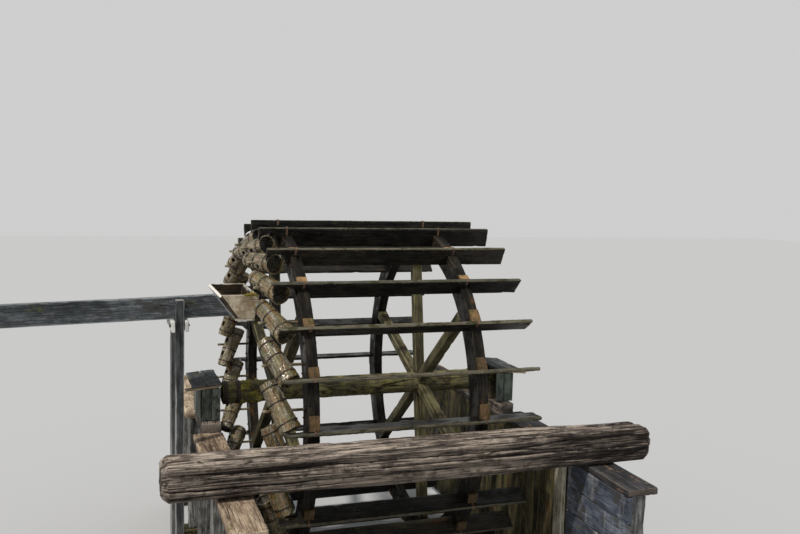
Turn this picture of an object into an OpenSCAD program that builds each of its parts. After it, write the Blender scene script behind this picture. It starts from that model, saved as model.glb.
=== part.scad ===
// Undershot scoop wheel: long paddles across two timber rings, stave buckets on the left ring,
// a log axle in covered bearings on a planked channel, and a hopper that feeds a raised flume.
// X runs along the axle, -Y is the rising side of the wheel, +Z is up, Z = 0 is the channel bed.

/* [Wheel] */
// Radius to the paddles' outer edges
wheel_r = 2100; // [1900:10:2300]
// Number of paddles, each with its bucket
paddle_n = 24; // [18:6:24]
// Clearance between the paddles and the bed sills
bed_gap = 50; // [20:5:300]
// How far the first paddle stands above the level of the axle, in degrees
rest_turn = 16; // [12:0.5:18]
// Distance between the middles of the two rings
ring_gap = 1884; // [1500:10:2000]

/* [Paddles] */
// Width of a paddle board along the wheel's radius
paddle_w = 230; // [180:5:260]
// Thickness of a paddle board
paddle_t = 35; // [28:1:45]
// Overhang past the middle of the right ring
paddle_right = 676; // [500:5:720]
// Overhang past the middle of the left ring
paddle_left = 330; // [290:5:350]
// Width of the iron strap over a paddle
strap_w = 34; // [20:1:60]
// Thickness of the iron strap
strap_t = 4; // [3:0.5:6]

/* [Rings and spokes] */
// Thickness of one layer of felloes
felloe_t = 60; // [45:1:75]
// Radial depth of the ring
ring_depth = 260; // [220:5:300]
// How far the paddles stand out past the ring
ring_inset = 90; // [70:5:110]
// Gap between the ends of neighbouring felloes
felloe_joint = 2; // [1:0.5:6]
// Number of spokes on each ring, and of felloes in each layer
spoke_n = 6; // [6:1:6]
// Width of a spoke along the axle
spoke_x = 130; // [110:1:140]
// Width of a spoke across
spoke_w = 120; // [90:1:124]
// Side of the square tenon in the axle
tenon_w = 60; // [40:1:62]
// Thickness of the flat tenon in the ring
tongue_t = 40; // [20:1:60]
// Length of the flat tenon in the ring
tongue_len = 120; // [60:5:150]

/* [Axle] */
// Diameter of the axle log
axle_d = 270; // [250:2:300]
// Across the flats where the spokes seat on the axle
axle_flats = 240; // [230:2:250]
// Axle length past the middle of the left ring
axle_left = 668; // [640:5:690]
// Axle length past the middle of the right ring
axle_right = 908; // [860:5:930]
// Diameter of the iron gudgeons
gudgeon_d = 70; // [50:1:90]
// Length of a gudgeon inside the axle
gudgeon_in = 220; // [150:10:300]
// Room behind a gudgeon's end in its bearing block
gudgeon_end = 15; // [10:1:30]
// Distance of the outer iron hoop from the axle's end
hoop_end = 12; // [5:1:30]
// Distance between the two iron hoops at one end of the axle
hoop_step = 150; // [100:5:180]
// Width of the iron hoops on the axle
hoop_w = 50; // [30:1:80]
// Thickness of the iron hoops on the axle
hoop_t = 8; // [5:1:12]

/* [Buckets] */
// Length of a bucket
bucket_len = 560; // [520:1:570]
// Outer diameter at the leading end
bucket_d1 = 180; // [150:1:184]
// Outer diameter at the trailing end
bucket_d2 = 240; // [200:1:244]
// Thickness of the staves
stave_t = 18; // [12:1:24]
// Thickness of the end boards
head_t = 22; // [15:1:30]
// Depth of the end board inside the leading end
chime = 28; // [15:1:40]
// Depth of the end board inside the trailing end
chime_back = 70; // [20:1:80]
// Distance of the middle of the trailing end in from the paddles' edges
bucket_in = 212; // [190:1:230]
// Distance from the left ring's middle plane to the middle of the trailing end
bucket_x = 214; // [205:1:230]
// Turn of the bucket's leading end away from the ring, in degrees
bucket_skew = 24.5; // [22:0.5:27]
// Dip of the bucket's leading end towards the axle, in degrees
bucket_dip = 26.5; // [22:0.5:30]
// Side of the square mouths
mouth = 60; // [40:1:64]
// Turn of the mouths round the bucket from its outward side, in degrees
mouth_turn = 254; // [245:1:265]
// Place of the first mouth, as a part of the bucket's length
mouth_1 = 0.37; // [0.30:0.01:0.38]
// Place of the second mouth, as a part of the bucket's length
mouth_2 = 0.71; // [0.70:0.01:0.78]
// Diameter of the wooden pin through a bucket
pin_d = 36; // [24:1:38]
// Length of a wooden pin
pin_len = 470; // [440:5:480]
// Length of a wooden pin inside the ring
pin_in = 35; // [20:1:50]
// Place of the pin, as a part of the bucket's length
pin_part = 0.42; // [0.40:0.01:0.42]
// Place of the trailing hoop, as a part of the bucket's length
band_1 = 0.16; // [0.10:0.01:0.20]
// Place of the middle hoop, as a part of the bucket's length
band_2 = 0.57; // [0.57:0.01:0.60]
// Place of the leading hoop, as a part of the bucket's length
band_3 = 0.88; // [0.85:0.01:0.93]
// Width of a bucket's iron hoop
band_w = 24; // [16:1:34]
// Thickness of a bucket's iron hoop
band_t = 3; // [2:0.5:5]

/* [Channel] */
// Distance from the left ring's middle plane to the left wall
wall_left = 723; // [700:5:780]
// Distance from the right ring's middle plane to the right wall
wall_right = 953; // [930:5:1010]
// Top of the cap planks below the axle's centre line
cap_drop = 350; // [310:5:400]
// Thickness of a cap plank
cap_t = 80; // [50:5:100]
// How far the cap planks stand out over the channel
cap_over = 10; // [0:1:30]
// Width of a cap plank
cap_w = 345; // [300:5:400]
// Channel length ahead of the wheel, from the axle
channel_front = 3400; // [3100:10:3700]
// Channel length behind the wheel, from the axle
channel_back = 2500; // [2300:10:2700]
// Width of a wall plank
plank_w = 132; // [100:1:180]
// Distance from the log's middle back to where the right wall's level boards end
board_back = 300; // [250:10:350]
// Height of a level board in the right wall
board_h = 270; // [200:5:330]
// Width of the upright cover strip between the right wall's boards and planks
strip_w = 180; // [100:5:220]
// Thickness of that cover strip
strip_t = 50; // [25:1:70]
// Thickness of a wall plank
plank_t = 50; // [35:1:70]
// Gap between wall planks
plank_gap = 13; // [5:1:30]
// Side of the square wall posts
wall_post = 170; // [120:5:200]
// Distance from the axle to the bed sills next to the middle one
sill_step = 1250; // [1000:10:1400]
// Height of the bed sills
sill_h = 100; // [80:1:130]
// Width of the bed sills
sill_w = 240; // [160:5:300]

/* [Bearings] */
// Width of the sole beam under a bearing
sole_w = 220; // [180:5:260]
// Height of the sole beam
sole_h = 180; // [150:5:230]
// Length of the sole beam
sole_len = 900; // [800:10:1000]
// Length of the bearing block along the channel
block_len = 320; // [240:5:400]
// Wood over the gudgeon in the bearing block
block_over = 70; // [50:5:90]
// Running clearance round a gudgeon
run_gap = 0.06; // [0.02:0.01:0.1]
// Height of the cover board's middle above the axle's centre line
cover_z = 200; // [190:5:240]
// Width of the cover board along the axle
cover_w = 345; // [320:5:380]
// Length of the cover board
cover_len = 745; // [700:5:800]
// Thickness of the cover board
cover_t = 36; // [25:1:50]
// Fall of the cover board away from the wheel, in degrees
cover_fall = 5; // [2:0.5:10]
// How far the cover board stands out past the bearing box
cover_over = 30; // [10:5:60]
// How far the cover board stands out over the channel
cover_in = 5; // [0:1:15]
// Thickness of the boards of the bearing box
box_t = 28; // [18:1:40]
// Width of the battens under a cover board
batten_w = 95; // [60:5:120]
// Thickness of those battens
batten_t = 24; // [15:1:26]
// How far the battens stand out past the cover board's low edge
batten_out = 80; // [20:5:100]

/* [Front log] */
// Height of the hewn log
log_h = 385; // [320:5:420]
// Depth of the hewn log
log_w = 430; // [360:5:480]
// Width of the log's hewn edges
log_edge = 45; // [25:1:60]
// Clearance between the paddles and the log
log_gap = 185; // [135:5:285]
// Log length past the middle of the left ring
log_left = 1560; // [1200:10:1700]
// Log length past the middle of the right ring
log_right = 1700; // [1500:10:1800]

/* [Hopper] */
// Height of the paddles' edges above the hopper's rim, at the top of the wheel
hopper_drop = 801; // [790:1:860]
// Depth of the hopper
hopper_h = 268; // [230:1:300]
// Distance of the hopper's near board in front of the axle
hopper_front = 800; // [650:5:830]
// Length of the hopper along the channel
hopper_len = 1050; // [900:10:1200]
// Distance from the left ring's middle to the rim of the hopper's right board
hopper_in = 360; // [340:2:400]
// Width of the hopper at its rim
hopper_w = 465; // [430:5:520]
// How much the right board leans in at the bottom
hopper_lean = 54; // [30:1:80]
// Width of the hopper's floor
hopper_floor = 213; // [180:1:260]
// Height of the hopper's outlet into the flume
outlet_h = 150; // [100:5:180]
// Thickness of the hopper's boards
hopper_t = 26; // [18:1:34]
// Level thickness of the hopper's left plank
hopper_thick = 46; // [26:1:50]

/* [Flume] */
// Inner width of the flume
flume_w = 350; // [250:5:450]
// Height of the flume's underside above the hopper's floor
flume_step = 36; // [10:1:50]
// Height of the flume's side boards
flume_h = 250; // [220:1:260]
// How much lower the flume's far side board is
flume_low = 50; // [0:5:70]
// Thickness of the flume's boards
flume_t = 26; // [18:1:36]
// Fall of the flume for each metre
flume_fall = 29; // [10:1:50]
// Distance of the flume's lower end from the left ring's middle
flume_end = 3950; // [3700:10:4300]
// Distance of the first trestle from the left ring's middle
trestle_x = 1238; // [1150:5:1300]
// Distance between the trestles
trestle_step = 2500; // [2200:10:2500]
// Side of the square trestle posts
trestle_post = 100; // [80:1:120]
// Distance between the middles of a trestle's posts
trestle_gap = 650; // [600:5:700]
// Width of the ground sills under the trestles
ground_w = 140; // [120:5:150]
// Height of the near posts above the flume's underside
post_near = 220; // [150:5:240]
// Height of the far posts above the flume's underside
post_far = 60; // [0:5:100]
// Height of the pair of beams under the flume
beam_h = 125; // [80:1:150]
// Thickness of one of those beams
beam_t = 45; // [30:1:60]
// How far the beams stand out past the posts
beam_out = 60; // [20:5:100]

/* [Fit] */
// Clearance between pieces that seat on each other
seat = 0.3; // [0.1:0.1:0.5]

/* [Hidden] */

wood_wet = [0.20, 0.18, 0.15];
wood_moss = [0.48, 0.46, 0.24];
wood_grey = [0.47, 0.50, 0.52];
wood_tan = [0.62, 0.55, 0.46];
iron = [0.36, 0.25, 0.19];

axle_z = sill_h + bed_gap + wheel_r;
bucket_r = wheel_r - bucket_in;
log_y = wheel_r + log_gap + log_w / 2;
x_left = -ring_gap / 2;
x_right = ring_gap / 2;
pitch = 360 / paddle_n;
quarter = paddle_n / 4;
spoke_step = 360 / spoke_n;
spoke_turn = 1.5 * pitch;
joint_turn = floor(paddle_n / spoke_n / 2) * pitch;
ring_r2 = wheel_r - ring_inset;
ring_r1 = ring_r2 - ring_depth;
shoulder_r = sqrt(pow(ring_r1, 2) - pow(spoke_w / 2, 2)) - seat;
paddle_x0 = x_left - paddle_left;
paddle_len = paddle_left + ring_gap + paddle_right;
bucket_x0 = x_left - bucket_x;
taper = (bucket_d1 - bucket_d2) / 2 / bucket_len;
pin_at = pin_part * bucket_len;
pin_x0 = x_left - felloe_t + pin_in;
cap_top = axle_z - cap_drop;
plank_top = cap_top - cap_t;
wall_xl = x_left - wall_left;
wall_xr = x_right + wall_right;
plank_h = plank_top - sill_h;
sole_top = plank_top + sole_h;
sill_ys = [-channel_front + sill_w / 2, -log_y, -sill_step, 0, sill_step,
    channel_back - sill_w / 2];
hopper_x1 = x_left - hopper_in;
hopper_x0 = hopper_x1 - hopper_w;
floor_x1 = hopper_x1 - hopper_lean;
floor_x0 = floor_x1 - hopper_floor;
hopper_y0 = -hopper_front;
hopper_y1 = hopper_y0 + hopper_len;
hopper_z0 = axle_z + wheel_r - hopper_drop - hopper_h;
board_end = log_y - board_back;
flume_slope = atan(flume_fall / 1000);
flume_len = (flume_end - (x_left - floor_x0)) / cos(flume_slope);
trestle_y = -hopper_front - trestle_post / 2 - seat;
far = 9000;

function outer_r(z) = bucket_d2 / 2 + taper * z;
function log_outline(w, h, c) = [
    [-w / 2 + c, 0], [w / 2 - 1.4 * c, 0], [w / 2, c], [w / 2, h - 1.6 * c],
    [w / 2 - 1.5 * c, h], [-w / 2 + c, h], [-w / 2, h - 1.2 * c], [-w / 2, 1.3 * c]];

module at_turn(a) {
    translate([0, 0, axle_z])
        rotate([-a, 0, 0])
            children();
}

module x_rod(d, x0, len) {
    translate([x0, 0, 0])
        rotate([0, 90, 0])
            cylinder(d = d, h = len, $fn = 96);
}

module block(x0, x1, y0, y1, z0, z1) {
    translate([x0, y0, z0])
        cube([x1 - x0, y1 - y0, z1 - z0]);
}

// Places a bucket's own axis, with its trailing end on the paddle's plane
module at_bucket() {
    translate([bucket_x0, -bucket_r, 0])
        rotate([-bucket_dip, -bucket_skew, 0])
            children();
}

// Carries children to the point where the pin crosses the bucket's axis
module at_pin() {
    translate([0,
        -bucket_r + sin(bucket_dip) * pin_at,
        cos(bucket_dip) * cos(bucket_skew) * pin_at])
        children();
}

module bucket_shape(grow) {
    cylinder(r1 = outer_r(0) + grow, r2 = outer_r(bucket_len) + grow, h = bucket_len, $fn = 96);
}

module hollow(z0, z1) {
    translate([0, 0, z0])
        cylinder(r1 = outer_r(z0) - stave_t, r2 = outer_r(z1) - stave_t, h = z1 - z0, $fn = 96);
}

module mouth_cut(at) {
    rotate([0, 0, mouth_turn])
        translate([-mouth / 2, -bucket_d2, at * bucket_len - mouth / 2])
            cube([mouth, bucket_d2, mouth]);
}

module bucket() {
    difference() {
        at_bucket()
            difference() {
                bucket_shape(0);
                hollow(-1, chime_back);
                hollow(chime_back + head_t, bucket_len - chime - head_t);
                hollow(bucket_len - chime, bucket_len + 1);
                mouth_cut(mouth_1);
                mouth_cut(mouth_2);
            }
        at_pin()
            x_rod(pin_d + 2 * seat, pin_x0 - pin_len, pin_len + felloe_t);
    }
}

module bucket_group(first) {
    for (k = [first : first + quarter - 1])
        at_turn(rest_turn + k * pitch)
            bucket();
}

module bucket_band(at) {
    z0 = at * bucket_len - band_w / 2;
    z1 = z0 + band_w;
    difference() {
        translate([0, 0, z0])
            cylinder(r1 = outer_r(z0) + band_t, r2 = outer_r(z1) + band_t, h = band_w, $fn = 96);
        translate([0, 0, z0 - 1])
            cylinder(r1 = outer_r(z0 - 1) + seat / 2, r2 = outer_r(z1 + 1) + seat / 2,
                h = band_w + 2, $fn = 96);
    }
}

module paddle() {
    difference() {
        block(paddle_x0, paddle_x0 + paddle_len,
            -wheel_r, -wheel_r + paddle_w, -paddle_t / 2, paddle_t / 2);
        at_bucket()
            bucket_shape(seat);
    }
}

module paddle_group(first) {
    for (k = [first : first + quarter - 1])
        at_turn(rest_turn + k * pitch)
            paddle();
}

module strap(x) {
    difference() {
        block(x - strap_w / 2, x + strap_w / 2, -wheel_r - strap_t, -ring_r2 - seat,
            -paddle_t / 2 - strap_t, paddle_t / 2 + strap_t);
        block(x - strap_w, x + strap_w, -wheel_r - seat / 3, 0,
            -paddle_t / 2 - seat / 3, paddle_t / 2 + seat / 3);
    }
}

module ring_layer(x0, mid, turn) {
    difference() {
        at_turn(0)
            difference() {
                x_rod(2 * ring_r2, x0, felloe_t);
                x_rod(2 * ring_r1, x0 - 1, felloe_t + 2);
            }
        for (k = [0 : paddle_n - 1])
            at_turn(rest_turn + k * pitch)
                block(x0 - 1, x0 + felloe_t + 1, -wheel_r, -wheel_r + paddle_w + seat,
                    -paddle_t / 2 - seat, paddle_t / 2 + seat);
        for (k = [0 : spoke_n - 1])
            at_turn(rest_turn + spoke_turn + turn + k * spoke_step)
                block(x0 - 1, x0 + felloe_t + 1, -far, 0, -felloe_joint / 2, felloe_joint / 2);
        for (k = [0 : spoke_n - 1])
            at_turn(rest_turn + spoke_turn + k * spoke_step)
                block(mid - tongue_t / 2 - seat, mid + tongue_t / 2 + seat,
                    -ring_r1 - tongue_len - seat, -ring_r1 / 2,
                    -spoke_w / 3 - seat, spoke_w / 3 + seat);
    }
}

module pin_holes() {
    for (k = [0 : paddle_n - 1])
        at_turn(rest_turn + k * pitch)
            at_pin()
                x_rod(pin_d + 2 * seat, pin_x0 - felloe_t, felloe_t + seat);
}

module spoke(mid) {
    block(mid - spoke_x / 2, mid + spoke_x / 2, -shoulder_r, -axle_flats / 2 - seat,
        -spoke_w / 2, spoke_w / 2);
    block(mid - tongue_t / 2, mid + tongue_t / 2, -ring_r1 - tongue_len, -ring_r1 + tongue_len,
        -spoke_w / 3, spoke_w / 3);
    block(mid - tenon_w / 2, mid + tenon_w / 2, -axle_flats, -tenon_w,
        -tenon_w / 2, tenon_w / 2);
}

module spoke_set(mid) {
    for (k = [0 : spoke_n - 1])
        at_turn(rest_turn + spoke_turn + k * spoke_step)
            spoke(mid);
}

module axle_hub_cuts(mid) {
    difference() {
        x_rod(2 * axle_d, mid - spoke_x / 2 - seat, spoke_x + 2 * seat);
        rotate([-rest_turn - spoke_turn, 0, 0])
            translate([mid - axle_d, 0, 0])
                rotate([0, 90, 0])
                    cylinder(r = axle_flats / 2 / cos(30), h = 2 * axle_d, $fn = 6);
    }
    for (k = [0 : spoke_n - 1])
        rotate([-rest_turn - spoke_turn - k * spoke_step, 0, 0])
            block(mid - tenon_w / 2 - seat, mid + tenon_w / 2 + seat,
                -axle_d, -tenon_w + seat, -tenon_w / 2 - seat, tenon_w / 2 + seat);
}

module axle() {
    color(wood_moss)
        at_turn(0)
            difference() {
                x_rod(axle_d, x_left - axle_left, axle_left + ring_gap + axle_right);
                axle_hub_cuts(x_left);
                axle_hub_cuts(x_right);
                x_rod(gudgeon_d + 2 * seat, x_left - axle_left - 1, gudgeon_in + 1 + seat);
                x_rod(gudgeon_d + 2 * seat, x_right + axle_right - gudgeon_in - seat,
                    gudgeon_in + 1 + seat);
            }
}

module axle_hoop(x0) {
    difference() {
        x_rod(axle_d + 2 * hoop_t, x0, hoop_w);
        x_rod(axle_d + seat, x0 - 1, hoop_w + 2);
    }
}

module axle_hoops() {
    color(iron)
        at_turn(0) {
            axle_hoop(x_left - axle_left + hoop_end);
            axle_hoop(x_left - axle_left + hoop_end + hoop_step);
            axle_hoop(x_right + axle_right - hoop_end - hoop_w);
            axle_hoop(x_right + axle_right - hoop_end - hoop_w - hoop_step);
        }
}

// Iron pins driven into the axle's ends, which turn in the bearing blocks
module gudgeons() {
    out_l = wall_left - axle_left + sole_w - gudgeon_end;
    out_r = wall_right - axle_right + sole_w - gudgeon_end;
    color(iron)
        at_turn(0) {
            x_rod(gudgeon_d, x_left - axle_left - out_l, out_l + gudgeon_in);
            x_rod(gudgeon_d, x_right + axle_right - gudgeon_in, out_r + gudgeon_in);
        }
}

module ring_left_outer() {
    color(wood_wet)
        difference() {
            ring_layer(x_left - felloe_t - seat / 3, x_left, joint_turn);
            pin_holes();
        }
}

module ring_left_inner() {
    color(wood_wet)
        ring_layer(x_left, x_left, joint_turn - pitch);
}

module ring_right_inner() {
    color(wood_wet)
        ring_layer(x_right - felloe_t - seat / 3, x_right, joint_turn - pitch);
}

module ring_right_outer() {
    color(wood_wet)
        ring_layer(x_right, x_right, joint_turn);
}

module spokes_left() {
    color(wood_moss)
        spoke_set(x_left);
}

module spokes_right() {
    color(wood_moss)
        spoke_set(x_right);
}

module paddles_a() {
    color(wood_wet)
        paddle_group(0);
}

module paddles_b() {
    color(wood_wet)
        paddle_group(quarter);
}

module paddles_c() {
    color(wood_wet)
        paddle_group(2 * quarter);
}

module paddles_d() {
    color(wood_wet)
        paddle_group(3 * quarter);
}

module paddle_straps() {
    color(iron)
        for (k = [0 : paddle_n - 1])
            at_turn(rest_turn + k * pitch) {
                strap(x_left);
                strap(x_right);
            }
}

module buckets_a() {
    color(wood_moss)
        bucket_group(0);
}

module buckets_b() {
    color(wood_moss)
        bucket_group(quarter);
}

module buckets_c() {
    color(wood_moss)
        bucket_group(2 * quarter);
}

module buckets_d() {
    color(wood_moss)
        bucket_group(3 * quarter);
}

module bucket_pins() {
    color(wood_grey)
        for (k = [0 : paddle_n - 1])
            at_turn(rest_turn + k * pitch)
                at_pin()
                    x_rod(pin_d, pin_x0 - pin_len, pin_len);
}

module bucket_hoops() {
    color(iron)
        for (k = [0 : paddle_n - 1])
            at_turn(rest_turn + k * pitch)
                at_bucket() {
                    bucket_band(band_1);
                    bucket_band(band_2);
                    bucket_band(band_3);
                }
}

module bed_sills() {
    color(wood_wet)
        for (y = sill_ys)
            block(wall_xl - cap_w, wall_xr + cap_w, y - sill_w / 2, y + sill_w / 2, 0, sill_h);
}

module wall_posts(x0) {
    color(wood_grey)
        for (y = sill_ys)
            block(x0, x0 + wall_post, y - wall_post / 2, y + wall_post / 2,
                sill_h, plank_top);
}

module wall_posts_left() {
    wall_posts(wall_xl - plank_t - wall_post);
}

module wall_posts_right() {
    wall_posts(wall_xr + plank_t);
}

module planks(x0, front) {
    step = plank_w + plank_gap;
    n = floor((front + channel_back) / step);
    start = -front + (front + channel_back - n * step + plank_gap) / 2;
    color(wood_moss)
        for (k = [0 : n - 1])
            block(x0, x0 + plank_t, start + k * step, start + k * step + plank_w,
                sill_h, plank_top);
}

module wall_planks_left() {
    planks(wall_xl - plank_t, channel_front);
}

module wall_planks_right() {
    planks(wall_xr, board_end);
}

// Level boards at the front of the right wall
module wall_boards_right() {
    step = board_h + plank_gap;
    n = floor((plank_h + plank_gap) / step);
    color(wood_grey)
        for (k = [1 : n])
            block(wall_xr, wall_xr + plank_t, -channel_front, -board_end - plank_gap,
                plank_top - k * step + plank_gap, plank_top - (k - 1) * step);
}

module wall_strip_right() {
    color(wood_grey)
        block(wall_xr - strip_t, wall_xr, -board_end, -board_end + strip_w, sill_h, plank_top);
}

module caps(x0) {
    color(wood_grey) {
        block(x0, x0 + cap_w, -channel_front, -sole_len / 2 - seat, plank_top, cap_top);
        block(x0, x0 + cap_w, sole_len / 2 + seat, channel_back, plank_top, cap_top);
    }
}

module wall_caps_left() {
    caps(wall_xl - cap_w + cap_over);
}

module wall_caps_right() {
    caps(wall_xr - cap_over);
}

module front_log() {
    color(wood_tan)
        translate([x_left - log_left, -log_y, cap_top])
            rotate([90, 0, 90])
                linear_extrude(height = log_left + ring_gap + log_right)
                    polygon(log_outline(log_w, log_h, log_edge));
}

module sole(x0) {
    color(wood_wet)
        block(x0, x0 + sole_w, -sole_len / 2, sole_len / 2, plank_top, sole_top);
}

module bearing_sole_left() {
    sole(wall_xl - sole_w);
}

module bearing_sole_right() {
    sole(wall_xr);
}

module bearing_block(x0) {
    color(wood_wet)
        difference() {
            block(x0, x0 + sole_w, -block_len / 2, block_len / 2,
                sole_top, axle_z + gudgeon_d / 2 + block_over);
            at_turn(0)
                x_rod(gudgeon_d + 2 * run_gap, x0 - 1, sole_w + 2);
        }
}

module bearing_block_left() {
    bearing_block(wall_xl - sole_w);
}

module bearing_block_right() {
    bearing_block(wall_xr);
}

// Everything above the underside of a cover board's battens
module above_battens(x_edge, side) {
    translate([x_edge, 0, axle_z + cover_z])
        rotate([0, side * cover_fall, 0])
            translate([-2 * cover_w, -cover_len, -cover_t / 2 - batten_t - 2 * seat])
                cube([4 * cover_w, 2 * cover_len, 2 * cover_w]);
}

// Three boards round the bearing, open towards the wheel
module bearing_box(x_wall, side) {
    y1 = cover_len / 2 - cover_over;
    top = axle_z + cover_z;
    x0 = side > 0 ? x_wall : x_wall - sole_w;
    back_x = side > 0 ? x_wall + sole_w : x_wall - sole_w - box_t;
    color(wood_grey)
        difference() {
            union() {
                block(x0, x0 + sole_w, -y1, -y1 + box_t, sole_top, top);
                block(x0, x0 + sole_w, y1 - box_t, y1, sole_top, top);
                block(back_x, back_x + box_t, -y1, y1, sole_top, top);
            }
            above_battens(x_wall - side * cover_in, side);
        }
}

module bearing_box_left() {
    bearing_box(wall_xl, -1);
}

module bearing_box_right() {
    bearing_box(wall_xr, 1);
}

module cover(x_edge, side) {
    color(wood_grey)
        translate([x_edge, 0, axle_z + cover_z])
            rotate([0, side * cover_fall, 0])
                translate([side > 0 ? 0 : -cover_w, -cover_len / 2, -cover_t / 2])
                    cube([cover_w, cover_len, cover_t]);
}

module bearing_cover_left() {
    cover(wall_xl + cover_in, -1);
}

module bearing_cover_right() {
    cover(wall_xr - cover_in, 1);
}

module battens(x_edge, side) {
    len = cover_w + batten_out;
    translate([x_edge, 0, axle_z + cover_z])
        rotate([0, side * cover_fall, 0])
            for (y = [-cover_len / 2, cover_len / 2 - batten_w])
                translate([side > 0 ? 0 : -len, y, -cover_t / 2 - seat - batten_t])
                    cube([len, batten_w, batten_t]);
}

module cover_battens() {
    color(wood_tan) {
        battens(wall_xl + cover_in, -1);
        battens(wall_xr - cover_in, 1);
    }
}

// Outline of a hopper's end board, seen along the channel and fitted beside the left plank
module hopper_outline() {
    in = hopper_thick + seat;
    polygon([[floor_x0 + in, 0], [floor_x1, 0], [hopper_x1, hopper_h], [hopper_x0 + in, hopper_h]]);
}

module hopper_end(y0) {
    color(wood_tan)
        translate([0, y0 + hopper_t, hopper_z0])
            rotate([90, 0, 0])
                linear_extrude(height = hopper_t)
                    hopper_outline();
}

module hopper_near_board() {
    hopper_end(hopper_y0);
}

module hopper_far_board() {
    hopper_end(hopper_y1 - hopper_t);
}

// A sloping board along one side of the hopper, short of both ends by a given length
module hopper_side(x0, x1, out, short) {
    translate([0, hopper_y1 - short, hopper_z0])
        rotate([90, 0, 0])
            linear_extrude(height = hopper_len - 2 * short)
                polygon([[x0, 0], [x1, hopper_h], [x1 + out, hopper_h], [x0 + out, 0]]);
}

module hopper_left_board() {
    color(wood_tan)
        difference() {
            hopper_side(floor_x0, hopper_x0, hopper_thick, 0);
            block(hopper_x0, floor_x0 + 2 * hopper_thick, hopper_y0 + flume_t,
                hopper_y0 + flume_t + flume_w, hopper_z0 + flume_step + flume_t,
                hopper_z0 + flume_step + flume_t + outlet_h);
        }
}

module hopper_right_board() {
    color(wood_tan)
        hopper_side(floor_x1, hopper_x1, -hopper_t, hopper_t);
}

module hopper_floor_board() {
    color(wood_tan)
        block(floor_x0, floor_x1, hopper_y0, hopper_y1, hopper_z0 - hopper_t, hopper_z0);
}

// Carries children along the falling line of the flume, from the hopper to its lower end
module along_flume() {
    translate([floor_x0, 0, hopper_z0 + flume_step])
        rotate([0, -flume_slope, 0])
            children();
}

// Distance from the flume's start to the hopper's sloping board, at a height above the underside
function flume_cut(h) = seat + (floor_x0 - hopper_x0) * (h + flume_step) / hopper_h;

module flume_side(y0, h) {
    color(wood_grey)
        translate([0, y0 + flume_t, 0])
            along_flume()
                rotate([90, 0, 0])
                    linear_extrude(height = flume_t)
                        polygon([[-flume_len, 0], [-flume_cut(0), 0], [-flume_cut(h), h],
                            [-flume_len, h]]);
}

module flume_near_side() {
    flume_side(hopper_y0, flume_h);
}

module flume_far_side() {
    flume_side(hopper_y0 + flume_t + flume_w, flume_h - flume_low);
}

module flume_floor() {
    color(wood_grey)
        along_flume()
            translate([-flume_len, hopper_y0 + flume_t + seat, 0])
                cube([flume_len - flume_cut(flume_t), flume_w - 2 * seat, flume_t]);
}

function flume_under(x) = hopper_z0 + flume_step - (floor_x0 - x) * flume_fall / 1000;

// Ground sills that tie the trestles to the channel wall
module trestle_sills() {
    x0 = x_left - trestle_x - trestle_step - trestle_post;
    color(wood_wet)
        for (y = [trestle_y, trestle_y + trestle_gap])
            block(x0, wall_xl, y - ground_w / 2, y + ground_w / 2, 0, sill_h);
}

module trestle_posts() {
    color(wood_grey)
        for (k = [0, 1]) {
            x = x_left - trestle_x - k * trestle_step;
            block(x - trestle_post / 2, x + trestle_post / 2,
                trestle_y - trestle_post / 2, trestle_y + trestle_post / 2,
                sill_h, flume_under(x) + post_near);
            block(x - trestle_post / 2, x + trestle_post / 2,
                trestle_y + trestle_gap - trestle_post / 2,
                trestle_y + trestle_gap + trestle_post / 2, sill_h, flume_under(x) + post_far);
        }
}

module trestle_beams() {
    y0 = trestle_y - trestle_post / 2 - beam_out;
    y1 = trestle_y + trestle_gap + trestle_post / 2 + beam_out;
    color(wood_grey)
        for (k = [0, 1], side = [-1, 1]) {
            x = x_left - trestle_x - k * trestle_step + side * (trestle_post + beam_t) / 2;
            top = flume_under(x - beam_t / 2) - seat;
            block(x - beam_t / 2, x + beam_t / 2, y0, y1, top - beam_h, top);
        }
}

axle();
axle_hoops();
gudgeons();
ring_left_outer();
ring_left_inner();
ring_right_inner();
ring_right_outer();
spokes_left();
spokes_right();
paddles_a();
paddles_b();
paddles_c();
paddles_d();
paddle_straps();
buckets_a();
buckets_b();
buckets_c();
buckets_d();
bucket_pins();
bucket_hoops();
bed_sills();
wall_posts_left();
wall_posts_right();
wall_planks_left();
wall_planks_right();
wall_boards_right();
wall_strip_right();
wall_caps_left();
wall_caps_right();
front_log();
bearing_sole_left();
bearing_sole_right();
bearing_block_left();
bearing_block_right();
bearing_box_left();
bearing_box_right();
bearing_cover_left();
bearing_cover_right();
cover_battens();
hopper_near_board();
hopper_far_board();
hopper_left_board();
hopper_right_board();
hopper_floor_board();
flume_near_side();
flume_far_side();
flume_floor();
trestle_sills();
trestle_posts();
trestle_beams();
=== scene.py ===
import bpy
import math
import numpy as np
from mathutils import Matrix, Vector


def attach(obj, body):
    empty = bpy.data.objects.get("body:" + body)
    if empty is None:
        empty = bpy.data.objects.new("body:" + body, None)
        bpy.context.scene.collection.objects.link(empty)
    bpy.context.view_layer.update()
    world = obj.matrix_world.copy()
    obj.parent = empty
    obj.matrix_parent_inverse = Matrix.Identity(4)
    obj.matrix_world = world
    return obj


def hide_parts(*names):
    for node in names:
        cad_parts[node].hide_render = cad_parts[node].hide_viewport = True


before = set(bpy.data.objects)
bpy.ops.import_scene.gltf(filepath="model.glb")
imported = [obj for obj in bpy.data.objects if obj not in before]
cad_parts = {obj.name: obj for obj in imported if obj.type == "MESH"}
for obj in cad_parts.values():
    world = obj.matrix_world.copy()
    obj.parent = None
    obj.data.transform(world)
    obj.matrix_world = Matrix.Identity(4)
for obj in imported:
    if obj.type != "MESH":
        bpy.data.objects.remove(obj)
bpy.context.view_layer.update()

rng = np.random.default_rng(17)
print("frame loaded")

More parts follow.
